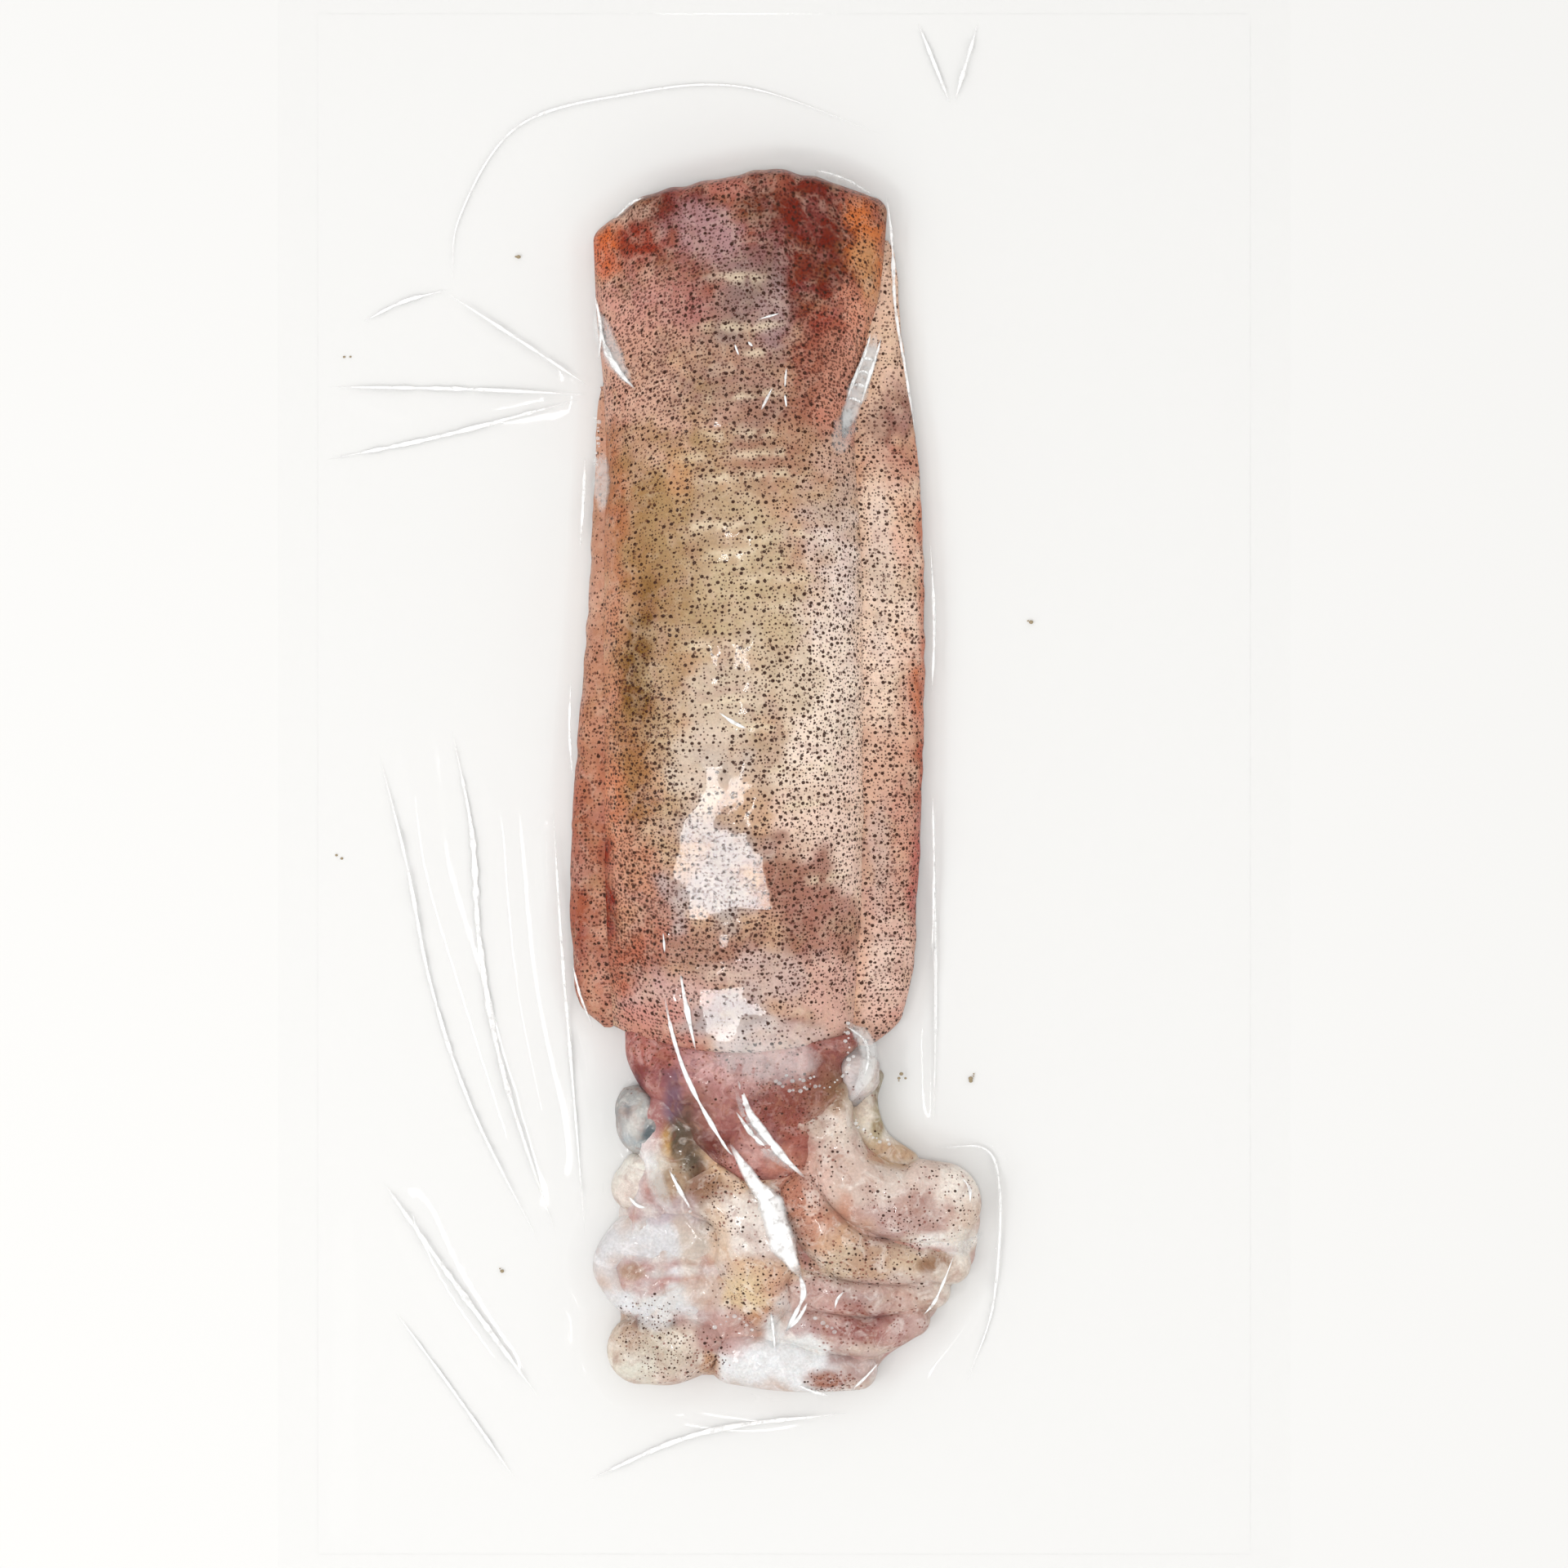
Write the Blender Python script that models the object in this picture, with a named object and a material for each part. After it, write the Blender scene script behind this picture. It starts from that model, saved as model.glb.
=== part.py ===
"""A whole raw bigfin reef squid, flattened in a clear vacuum pouch that lies on a table.

Metres, +Z up. The origin is the middle of the pouch's underside. The squid lies back up along Y, with
its tail towards +Y and its arms towards -Y. The mantle, fins, head, eyes, arms and tentacles are pressed
against each other and against the pouch, so every solid has a flat underside.
"""
import math

import bmesh
import bpy
import numpy as np

MM = 0.001

# Pouch: two webs of film, welded round the rim and drawn down to one thin plate outside the squid.
POUCH_WIDTH = 250.0
POUCH_LENGTH = 400.0
WELD_WIDTH = 10.0
WEB_THICKNESS = 1.0
WELD_THICKNESS = 0.7
SKIRT_HEIGHT = 6.5
SKIRT_SPREAD = 8.0
SKIRT_LIP = 1.0
POCKET_POINTS = 84

# Squid: everything in it stands on the lower web, a hair's gap above it.
GAP = 0.4
BASE = WEB_THICKNESS + GAP
MANTLE_HEIGHT = 24.0
MANTLE_EDGE = 3.5
COLLAR_WALL = 3.0
COLLAR_FLOOR = -58.0
FIN_HEIGHT = 8.5
PRESS_GAP = 0.8

# The tail's blunt end and the mantle's front rim bow across the body: y = at + bow * (x - middle)^2.
TAIL_LINE = {"at": 151.0, "bow": -0.0085, "middle": -5.5}
RIM_LINE = {"at": -65.0, "bow": 0.0055, "middle": -10.0}

# Mantle from rim (0) to tail (1): share of length, left side, right side, share of full height.
MANTLE_SIDES = (
    (0.00, -42.0, 17.5, 0.80),
    (0.06, -45.0, 20.0, 0.90),
    (0.20, -45.5, 21.0, 1.00),
    (0.42, -45.5, 21.0, 1.00),
    (0.57, -45.0, 20.5, 0.97),
    (0.70, -44.0, 18.5, 0.92),
    (0.80, -44.5, 20.0, 0.86),
    (0.88, -46.0, 23.5, 0.78),
    (1.00, -47.0, 25.6, 0.62),
)
# Fins from front lobe to tail: y, edge away from the mantle, share of full height.
LEFT_FIN_EDGE = ((-60.0, -46.0, 0.5), (-54.0, -50.5, 0.8), (-46.0, -51.6, 1.0), (-28.0, -52.6, 1.0),
                 (2.0, -51.4, 1.0), (24.0, -49.6, 0.95), (52.0, -47.8, 0.85), (80.0, -46.2, 0.7),
                 (98.0, -46.0, 0.5))
RIGHT_FIN_EDGE = ((-64.5, 24.0, 0.5), (-57.0, 29.0, 0.8), (-46.0, 31.6, 1.0), (-28.0, 32.8, 1.0),
                  (12.0, 34.4, 1.0), (52.0, 34.4, 0.95), (72.0, 33.6, 0.9), (90.0, 31.6, 0.8),
                  (110.0, 29.0, 0.65), (134.0, 27.6, 0.4))

# Soft bodies in front of the mantle. Each has a route on the table, with the half width and the height
# of its crest at each point: (x, y, half width, crest). The head's route is bowed with the rim.
HEAD = ((-10.0, -65.9, 29.0, 21.0), (-10.0, -72.0, 28.5, 21.5), (-9.0, -78.0, 26.0, 21.0),
        (-9.0, -85.0, 18.5, 19.0))
EYES = {
    "eye_left": ((-34.0, -80.0, 7.5, 16.5), (-33.0, -84.0, 8.0, 17.0), (-31.0, -88.0, 6.5, 15.5)),
    "eye_right": ((16.5, -69.0, 7.0, 16.0), (17.0, -73.0, 6.5, 15.0)),
}
ARMS = {
    "arm_1": ((-15.5, -96.0, 11.5, 19.0), (-10.5, -105.0, 11.0, 20.0), (-6.4, -117.0, 10.5, 19.5),
              (-5.4, -126.0, 8.5, 16.5)),
    "arm_2": ((12.5, -89.0, 7.5, 17.0), (15.0, -96.0, 8.5, 18.0), (22.0, -101.0, 9.0, 17.5),
              (31.0, -102.5, 10.5, 17.0), (38.5, -103.0, 10.0, 14.5)),
    "arm_3": ((2.5, -98.0, 7.0, 17.5), (7.0, -107.0, 7.0, 17.0), (15.0, -115.0, 7.0, 16.5),
              (25.0, -117.5, 6.5, 15.5), (33.0, -118.5, 6.0, 13.5), (41.0, -118.0, 5.0, 11.0)),
    "arm_4": ((3.5, -122.0, 5.0, 15.5), (13.0, -125.5, 5.5, 15.5), (24.0, -126.5, 5.5, 14.5),
              (36.5, -124.5, 4.5, 11.0)),
    "arm_5": ((1.5, -132.5, 5.0, 14.5), (12.0, -134.5, 6.0, 15.0), (22.0, -134.5, 6.0, 13.5),
              (31.5, -131.5, 4.5, 11.0)),
    "arm_6": ((-12.0, -140.5, 7.0, 14.0), (-2.0, -142.0, 7.0, 14.0), (8.0, -143.5, 6.0, 13.0),
              (18.0, -144.0, 5.0, 11.0)),
    "arm_7": ((-20.5, -137.5, 7.5, 14.0), (-28.0, -138.5, 9.0, 15.5), (-35.0, -139.0, 8.5, 13.0)),
    "arm_8": ((-20.0, -110.5, 7.5, 14.5), (-28.5, -111.0, 7.8, 15.0), (-36.5, -111.4, 6.3, 14.0),
              (-43.5, -118.5, 3.6, 11.5), (-36.5, -126.2, 5.0, 13.0), (-28.0, -125.8, 5.8, 13.5),
              (-19.0, -125.6, 5.6, 13.0)),
    "tentacle_left": ((-28.5, -93.0, 5.5, 13.5), (-33.0, -96.0, 7.0, 14.0), (-36.5, -99.0, 6.0, 12.5)),
    "tentacle_right": ((22.8, -72.0, 1.8, 7.5), (20.0, -77.0, 3.2, 9.0), (20.0, -83.0, 4.0, 10.0),
                       (23.0, -89.0, 4.0, 10.0), (30.0, -93.5, 3.5, 9.0)),
}

# Pocket in the pouch round the squid's outline, clockwise from the tail's left corner.
POCKET = (
    (-50, 141), (-38, 146), (-24, 150), (-8, 152.5), (8, 152), (22, 147.5), (30, 140), (32, 126),
    (34, 104), (36.5, 80), (37.5, 50), (37.5, 10), (36, -28), (34.5, -50), (32, -63), (31.5, -75),
    (36, -83), (42, -88), (49.5, -95), (52, -105), (50, -116), (46, -127), (38, -137), (28, -146),
    (20, -151), (4, -152.5), (-14, -151), (-32, -150), (-43, -146), (-47.5, -136), (-48, -122),
    (-47.5, -106), (-44, -94), (-43, -82), (-44, -70), (-51, -61), (-54.5, -46), (-55.5, -28),
    (-54.5, 0), (-52.5, 24), (-50.5, 52), (-49, 80), (-49, 100), (-49.5, 120), (-50.5, 134),
)

COLOURS = {
    "film": ((0.86, 0.90, 0.93), 0.12),
    "mantle_skin": ((0.42, 0.22, 0.17), 0.35),
    "fin_skin": ((0.55, 0.25, 0.19), 0.35),
    "head_skin": ((0.50, 0.27, 0.24), 0.35),
    "eye": ((0.10, 0.12, 0.16), 0.25),
    "arm_skin": ((0.62, 0.40, 0.31), 0.35),
    "tentacle_flesh": ((0.78, 0.74, 0.74), 0.35),
}


def clear_scene():
    for obj in list(bpy.data.objects):
        bpy.data.objects.remove(obj)


def material(name):
    """One Principled material for each of the finishes in COLOURS."""
    colour, roughness = COLOURS[name]
    made = bpy.data.materials.get(name) or bpy.data.materials.new(name)
    made.use_nodes = True
    shader = made.node_tree.nodes["Principled BSDF"]
    shader.inputs["Base Color"].default_value = (*colour, 1.0)
    shader.inputs["Roughness"].default_value = roughness
    return made


def smooth_curve(points, count, closed=False):
    """Catmull-Rom curve through points of any dimension, read at count even steps of its parameter."""
    points = np.array(points, float)
    spans = len(points) if closed else len(points) - 1
    if not closed:
        points = np.vstack([2 * points[0] - points[1], points, 2 * points[-1] - points[-2]])
    steps = np.arange(count) * spans / count if closed else np.linspace(0, spans, count)
    made = []
    for step in steps:
        span = min(int(step), spans - 1)
        t = step - span
        first = span - 1 if closed else span
        a, b, c, d = (points[(first + k) % len(points)] if closed else points[first + k] for k in range(4))
        made.append(0.5 * (2 * b + (c - a) * t + (2 * a - 5 * b + 4 * c - d) * t ** 2
                           + (3 * b - a - 3 * c + d) * t ** 3))
    return np.array(made)


def at_station(table, place):
    """A row of a station table at any place between its first column's values, eased between rows."""
    rows = np.array(table, float)
    span = int(np.clip(np.searchsorted(rows[:, 0], place) - 1, 0, len(rows) - 2))
    t = np.clip((place - rows[span, 0]) / (rows[span + 1, 0] - rows[span, 0]), 0, 1)
    before, after = rows[max(span - 1, 0)], rows[min(span + 2, len(rows) - 1)]
    low, high = rows[span], rows[span + 1]
    width = high[0] - low[0]
    slope_low = (high - before) / max(high[0] - before[0], 1e-6) * width
    slope_high = (after - low) / max(after[0] - low[0], 1e-6) * width
    return ((2 * t ** 3 - 3 * t ** 2 + 1) * low + (t ** 3 - 2 * t ** 2 + t) * slope_low
            + (3 * t ** 2 - 2 * t ** 3) * high + (t ** 3 - t ** 2) * slope_high)[1:]


def bowed(line, x):
    return line["at"] + line["bow"] * (x - line["middle"]) ** 2


def loft(name, rings, finish, smooth=True):
    """A closed solid through rings of equal length, with flat caps. Rings are in millimetres."""
    mesh = bmesh.new()
    rows = [[mesh.verts.new(np.array(point) * MM) for point in ring] for ring in rings]
    count = len(rows[0])
    for low, high in zip(rows, rows[1:]):
        for k in range(count):
            after = (k + 1) % count
            mesh.faces.new((low[k], low[after], high[after], high[k]))
    mesh.faces.new(rows[0][::-1])
    mesh.faces.new(rows[-1])
    bmesh.ops.recalc_face_normals(mesh, faces=mesh.faces)
    bmesh.ops.triangulate(mesh, faces=[face for face in mesh.faces if len(face.verts) > 4])
    data = bpy.data.meshes.new(name)
    mesh.to_mesh(data)
    mesh.free()
    data.materials.append(material(finish))
    if smooth:
        data.shade_smooth()
    obj = bpy.data.objects.new(name, data)
    bpy.context.scene.collection.objects.link(obj)
    return obj


def rounded_stations(start, end, first_round, last_round, count):
    """Places from start to end with rounded ends, as (place, share of the full section kept)."""
    middle = [(place, 1.0) for place in np.linspace(start + first_round, end - last_round, count)]
    turns = np.radians((12.0, 38.0, 65.0))
    front = [(start + first_round * (1 - math.cos(turn)), math.sin(turn)) for turn in turns]
    back = [(end - last_round * (1 - math.cos(turn)), math.sin(turn)) for turn in turns[::-1]]
    return front + middle + back


def mantle_section(left, right, height, kept, wall=0.0):
    """Points round the mantle at one station, as (x, z): a low-sided dome over a flat underside. It
    shrinks to kept at a rounded end, and by a wall's thickness for the inside of the collar."""
    middle, half = (left + right) / 2, (right - left) / 2 - wall
    edge = BASE + MANTLE_EDGE * kept
    rise = (height - MANTLE_EDGE) * kept - wall
    shares = [math.sin(turn) for turn in np.radians(np.linspace(-90, 90, 19))]
    top = [(middle + half * share * (0.9 + 0.1 * kept),
            edge + rise * math.sqrt(max(0.0, 1 - abs(share) ** 2.5))) for share in shares]
    return top + [(x, BASE + wall) for x, _ in top[::-3]]


def make_mantle():
    """Flattened tube of the body, with a blunt tail. Its front rim is a collar that the neck enters."""
    def ring(place, kept, wall=0.0, forward=0.0):
        left, right, share = at_station(MANTLE_SIDES, place)
        section = mantle_section(left, right, MANTLE_HEIGHT * share, kept, wall)
        return [(x, bowed(RIM_LINE, x) + forward + place * (bowed(TAIL_LINE, x) - bowed(RIM_LINE, x)), z)
                for x, z in section]

    mouth = ring(0.0, 1.0, COLLAR_WALL, 0.8)
    rings = [[(x, COLLAR_FLOOR, z) for x, _, z in mouth], mouth, ring(0.0, 1.0, COLLAR_WALL * 0.5)]
    rings += [ring(place, kept) for place, kept in rounded_stations(0.005, 1.0, 0.0, 0.03, 28)[3:]]
    return loft("mantle", rings, "mantle_skin")


def mantle_side(y, column):
    """X of the mantle's left (0) or right (1) side where it passes y."""
    places = np.linspace(0, 1, 81)
    sides = np.array([at_station(MANTLE_SIDES, place)[column] for place in places])
    rim, tail = bowed(RIM_LINE, sides), bowed(TAIL_LINE, sides)
    return float(np.interp(y, rim + places * (tail - rim), sides))


def make_fin(name, edge_table, column):
    """Long side fin folded down against the mantle, thick at its root and thin at its free edge."""
    low_y, high_y = edge_table[0][0], edge_table[-1][0]
    rings = []
    for y, kept in rounded_stations(low_y, high_y, 6.0, 10.0, 24):
        outer, share = at_station(edge_table, y)
        side = 1 if column else -1
        inner = mantle_side(max(y, -55.0), column) + side * PRESS_GAP
        outer = inner + side * max(1.2, abs(outer - inner) * (0.35 + 0.65 * kept))
        height = FIN_HEIGHT * share * (0.5 + 0.5 * kept)
        across = ((0.0, 0.0), (0.0, 0.80), (0.15, 1.0), (0.45, 0.97), (0.75, 0.80), (0.93, 0.55),
                  (1.0, 0.28), (0.97, 0.0))
        rings.append([(inner + (outer - inner) * share_x, y, BASE + height * share_z)
                      for share_x, share_z in across])
    return loft(name, rings, "fin_skin")


class SoftBody:
    """A limb, head or eye that lies along a route and is pressed flat against its neighbours."""

    def __init__(self, name, table, rings, bow=0.0):
        self.name = name
        self.bow = bow
        self.samples = smooth_curve(table, rings)
        self.centre = self.samples[:, :2]
        self.half = self.samples[:, 2]
        self.waist = BASE + 0.4 * (self.samples[:, 3] - BASE)
        self.squash = self.half / (self.samples[:, 3] - self.waist)
        tangent = np.full_like(self.centre, (0.0, -1.0)) if bow else np.gradient(self.centre, axis=0)
        self.tangent = tangent / np.linalg.norm(tangent, axis=1)[:, None]

    def bend(self, x):
        return self.bow * (x - RIM_LINE["middle"]) ** 2

    def depth(self, point):
        """How far outside the body a point is, in millimetres; below zero inside it."""
        straight_y = point[1] - self.bend(point[0])
        across = np.hypot(self.centre[:, 0] - point[0], self.centre[:, 1] - straight_y)
        above = self.squash * np.maximum(0.0, point[2] - self.waist)
        return float(np.min(np.hypot(across, above) - self.half))

    def holds(self, point, others):
        """True where a point is this body's: inside it, deeper than in any other, clear of the mantle."""
        own = self.depth(point)
        return own <= 0.05 and clear_of_mantle(point) and all(
            own + PRESS_GAP <= other.depth(point) for other in others)

    def sections(self):
        """(centre, across, half width, waist, squash) of each ring, with rounded ends."""
        whole = [(self.centre[k], self.tangent[k], self.half[k], self.waist[k], self.squash[k])
                 for k in range(len(self.samples))]
        start = [self.end_section(0, turn) for turn in np.radians((75, 50, 25))]
        end = [self.end_section(-1, turn) for turn in np.radians((25, 50, 75))]
        return whole + end if self.bow else start + whole + end

    def end_section(self, end, turn):
        outwards = 1 if end else -1
        centre = self.centre[end] + outwards * self.tangent[end] * self.half[end] * math.sin(turn)
        return (centre, self.tangent[end], self.half[end] * math.cos(turn), self.waist[end],
                self.squash[end])

    def ring_point(self, section, turn, share):
        """The point at an angle round a section, at a share of its half width."""
        centre, tangent, half, waist, squash = section
        across, up = math.cos(turn), math.sin(turn)
        if up >= 0:
            width, z = half * share * across, waist + half / squash * share * up
        else:
            width = half * share * math.copysign(abs(across) ** 0.3, across)
            z = waist - (waist - BASE) * abs(up) ** 0.3
        x = centre[0] - tangent[1] * width
        return (x, centre[1] + tangent[0] * width + self.bend(x), z)

    def rings(self, others, turns):
        """Rings of the body, each point as far out as it can go, with no point out on its own."""
        kept = [section for section in self.sections() if self.holds(self.heart(section), others)]
        shares = np.array([[self.reach(section, turn, others) for turn in turns] for section in kept])
        for _ in range(5):
            around = (np.roll(shares, 1, axis=1) + np.roll(shares, -1, axis=1)) / 2
            along = (np.vstack([shares[1:], shares[-1:]]) + np.vstack([shares[:1], shares[:-1]])) / 2
            shares = np.minimum(shares, np.minimum(around, along) + 0.05)
        return [[self.ring_point(section, turn, share) for turn, share in zip(turns, row)]
                for section, row in zip(kept, shares)]

    def heart(self, section):
        return (section[0][0], section[0][1] + self.bend(section[0][0]), BASE)

    def reach(self, section, turn, others):
        """Largest share of the half width at which a ring's point is still this body's."""
        shares = np.linspace(1.0, 0.05, 96)
        return next((share for share in shares
                     if self.holds(self.ring_point(section, turn, share), others)), 0.05)


def clear_of_mantle(point):
    """True for a point clear of the mantle's front rim and of the right fin's front lobe."""
    clear_of_rim = point[1] <= bowed(RIM_LINE, point[0]) - PRESS_GAP
    clear_of_lobe = point[0] < 18.5 or point[1] < -66.0
    return clear_of_rim and clear_of_lobe


def neck_rings(ring):
    """The head's first ring shrunk to fit inside the collar: its flat back end, and its root at the rim."""
    ring = np.array(ring)
    middle = (ring.min(axis=0) + ring.max(axis=0)) / 2
    small = middle + (ring - middle) * (0.74, 1.0, 0.52) - (2.0, 0.0, 0.6)
    return [[(x, COLLAR_FLOOR - 1.0, z) for x, _, z in small],
            [(x, bowed(RIM_LINE, x) - 1.0, z) for x, _, z in small]]


def make_soft_bodies():
    """Head, eyes, arms and tentacles, each kept inside its own share of the room between them."""
    bodies = [SoftBody("head", HEAD, 9, RIM_LINE["bow"])]
    bodies += [SoftBody(name, table, 5) for name, table in EYES.items()]
    bodies += [SoftBody(name, table, 2 * len(table) + 1) for name, table in ARMS.items()]
    for body in bodies:
        turns = np.radians(np.arange(0, 360, 15 if body.bow else 24) + 0.01)
        rings = body.rings([other for other in bodies if other is not body], turns)
        if body.bow:
            rings = neck_rings(rings[0]) + rings
        finish = {"h": "head_skin", "e": "eye", "a": "arm_skin", "t": "tentacle_flesh"}[body.name[0]]
        loft(body.name, rings, finish)


def pouch_ring(outline, inset, height):
    """The pouch's edge moved in by inset, with a point out from each point of the squid's outline."""
    half = np.array([POUCH_WIDTH / 2 - inset, POUCH_LENGTH / 2 - inset])
    starts = outline * (0.0, 0.8) + (-5.0, 0.0)
    rays = outline - starts
    ring = starts + rays * ((np.sign(rays) * half - starts) / rays).min(axis=1)[:, None]
    for corner in ((-1, -1), (-1, 1), (1, -1), (1, 1)):
        nearest = np.argmin(np.linalg.norm(ring / half - corner, axis=1))
        ring[nearest] = corner * half
    return [(*point, height) for point in ring]


def make_pouch():
    """Vacuum pouch: welded rim, flat drawn-down margin, and the skirt that rises round the squid."""
    outline = smooth_curve(POCKET, POCKET_POINTS, closed=True)
    along = np.roll(outline, -1, axis=0) - np.roll(outline, 1, axis=0)
    outwards = np.column_stack([-along[:, 1], along[:, 0]]) / np.linalg.norm(along, axis=1)[:, None]

    def skirt(spread, height):
        return [(*point, height) for point in outline + outwards * spread]

    rings = [
        pouch_ring(outline, 0, 0),
        pouch_ring(outline, 0, WELD_THICKNESS),
        pouch_ring(outline, WELD_WIDTH, WELD_THICKNESS),
        pouch_ring(outline, WELD_WIDTH + 0.6, WEB_THICKNESS),
        skirt(SKIRT_SPREAD, WEB_THICKNESS),
        skirt(SKIRT_SPREAD * 0.55, WEB_THICKNESS + SKIRT_HEIGHT * 0.3),
        skirt(SKIRT_LIP, SKIRT_HEIGHT),
        skirt(0, SKIRT_HEIGHT),
        skirt(0, WEB_THICKNESS),
    ]
    return loft("pouch", rings, "film", smooth=False)


clear_scene()
make_mantle()
make_fin("fin_left", LEFT_FIN_EDGE, 0)
make_fin("fin_right", RIGHT_FIN_EDGE, 1)
make_soft_bodies()
make_pouch()
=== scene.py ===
import math

import bpy
import numpy as np
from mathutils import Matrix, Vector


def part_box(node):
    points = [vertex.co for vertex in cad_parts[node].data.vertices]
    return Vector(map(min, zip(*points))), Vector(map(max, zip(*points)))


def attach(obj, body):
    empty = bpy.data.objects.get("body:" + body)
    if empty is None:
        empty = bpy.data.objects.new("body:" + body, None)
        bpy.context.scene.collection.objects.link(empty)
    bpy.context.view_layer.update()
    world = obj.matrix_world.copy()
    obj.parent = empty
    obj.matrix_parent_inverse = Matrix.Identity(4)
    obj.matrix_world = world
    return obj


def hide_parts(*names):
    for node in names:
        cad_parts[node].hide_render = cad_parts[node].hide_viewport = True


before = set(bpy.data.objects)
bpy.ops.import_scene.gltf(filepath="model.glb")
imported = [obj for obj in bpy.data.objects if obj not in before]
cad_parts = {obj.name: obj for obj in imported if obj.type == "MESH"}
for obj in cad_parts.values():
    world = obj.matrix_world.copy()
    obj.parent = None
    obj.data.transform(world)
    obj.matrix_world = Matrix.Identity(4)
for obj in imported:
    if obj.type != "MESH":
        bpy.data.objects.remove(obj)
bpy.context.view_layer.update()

# A whole raw bigfin reef squid in a clear vacuum pouch. Lengths are in millimetres until a mesh is made.
MM = 0.001
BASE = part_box("mantle")[0][2] / MM
POUCH_HALF = (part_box("pouch")[1][0] / MM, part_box("pouch")[1][1] / MM)
FINE = 1.0


# ---------------------------------------------------------------- colour
def linear(code):
    """An sRGB hex colour as linear red, green, blue."""
    channels = [int(code[k:k + 2], 16) / 255 for k in (1, 3, 5)]
    return [c / 12.92 if c <= 0.04045 else ((c + 0.055) / 1.055) ** 2.4 for c in channels]


# Where the skin is which colour, seen from above: x, y, half width, half length, colour, and strength below 1.
BODY_TINTS = (
    # maroon, orange and lilac of the tail
    (-10, 134, 42, 22, "#935646"), (5, 130, 12, 24, "#702010"), (-28, 139, 9, 7, "#702820"),
    (-44, 130, 5, 9, "#c06030"), (20, 134, 5, 11, "#c2703c"), (-18, 132, 9, 7, "#ab8a90", 0.9),
    # the grey-pink patch at x -39, y 139.5 is a painted highlight on a bump of the tail
    (-13, 127, 5, 4, "#a48488", 0.7), (-39, 139.5, 5, 2.4, "#b79a8c", 0.8), (-5, 141, 5, 6, "#6a3622", 0.8),
    (7, 136, 6, 10, "#6e2214", 0.8), (-14, 146, 8, 3, "#aa6c62", 0.9), (19, 121, 3, 10, "#c28e64", 0.9),
    (-34, 131, 6, 5, "#8a2e1a", 0.9), (-6, 127, 6, 8, "#86686a", 0.7), (-27, 127, 7, 4, "#84423c", 0.7),
    (-11, 116, 10, 9, "#8a7674", 0.9), (-3, 112, 4, 8, "#a28c90", 0.8), (-37, 113, 11, 12, "#c8988e", 0.9),
    (13, 120, 5, 10, "#6a1806", 0.9), (17, 109, 7, 9, "#cc8e78", 0.9), (8, 108, 6, 8, "#903e2e", 0.9),
    (-28, 118, 9, 8, "#a87270", 0.7),
    # dusty pink and tan behind the tail
    (-36, 98, 10, 13, "#c49a8a"), (-14, 92, 16, 14, "#9d7e72"), (6, 94, 7, 12, "#9a6250", 0.9),
    (14, 88, 6, 10, "#be7c68", 0.8), (-26, 86, 10, 10, "#caa898", 0.9), (0, 80, 14, 9, "#a37b68", 0.8),
    (12, 96, 4, 12, "#c28e7c", 0.7), (13, 80, 6, 5, "#ccaea0", 0.8),
    # olive and brown along the left flank, cream down the middle
    (-42, 62, 4, 22, "#a86c48"), (-30, 56, 9, 26, "#9c7c54"), (-22, 58, 8, 26, "#a48964"),
    (-25.5, 73, 3, 7, "#c0926a", 0.6), (-42, 20, 4, 34, "#b88468"), (-36, 8, 5, 32, "#9a7048"),
    (-37, -24, 5, 14, "#8e4c2c", 0.9), (-34, 30, 4, 16, "#74521c", 0.9), (-28, 14, 6, 24, "#b09a7e", 0.8),
    (-12, 62, 10, 14, "#b29c82", 0.9), (-8, 44, 12, 18, "#bfb094", 0.9), (-14, 22, 10, 13, "#c6b9a8"),
    (-20, 40, 4, 10, "#b5a080", 0.7), (-3, 4, 9, 12, "#bcaa9a", 0.8), (-18, 4, 8, 10, "#d0c4b8", 0.9),
    # pale right half; the strips along its edge by the right fin are painted light that lifts the shade of its steep
    # side
    (11, 60, 9, 12, "#c2b0a8", 0.9), (14, 42, 9, 18, "#e8dcd8"), (12, 12, 12, 26, "#ece0d6"),
    (12, -18, 12, 18, "#e6d2c8"), (19, -8, 5, 20, "#e4ccc2", 0.8), (2, 26, 6, 10, "#c8baa6", 0.7),
    (20.5, 10, 3, 70, "#e8d0c0", 0.8),
    # salmon and red towards the front
    (-43, -14, 4, 16, "#c47e5e", 0.9), (-38, -30, 8, 14, "#c08e76"), (-44, -32, 3, 13, "#801c04"),
    (-29, -32, 6, 12, "#ac8074", 0.9), (-35, -44, 9, 9, "#ad6a55"), (3, -28, 8, 12, "#94665a", 0.9),
    (12, -34, 8, 10, "#a07064", 0.8), (-18, -42, 14, 7, "#9d7668", 0.9), (-2, -46, 9, 7, "#c4b2b2", 0.8),
    (12, -50, 10, 8, "#d0aca4", 0.9), (-24, -54, 10, 7, "#c4a6a4", 0.8), (-8, -58, 12, 5, "#baa6a6", 0.8),
    (-14, -13, 11, 1.6, "#704638", 0.6), (-4, -15, 9, 1.4, "#b89684", 0.5), (-6, -42, 8, 1.2, "#d0bcb8", 0.5),
    (-13, -46, 7, 2, "#c0aaa2", 0.7), (6, -60, 6, 3, "#865254", 0.7), (-32, -58, 8, 4, "#bc827a", 0.8),
    # pale bruised skin under the flat film of the back, greyed further under the film's glare patches as painted glare
    (-17, -20, 10, 13, "#b4b0b4", 0.9), (-12, -56, 9, 6, "#a49ea2", 0.9), (-15, 3, 6, 6, "#c0b8b2", 0.7),
    (-8, -63, 11, 5, "#d4d0d4", 0.9), (17, -60, 8, 5, "#d6b2aa", 0.8), (2, -62, 8, 4, "#cdbcb9", 0.8),
    (-26, -64, 6, 4, "#a8665c", 0.8),
)
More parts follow.
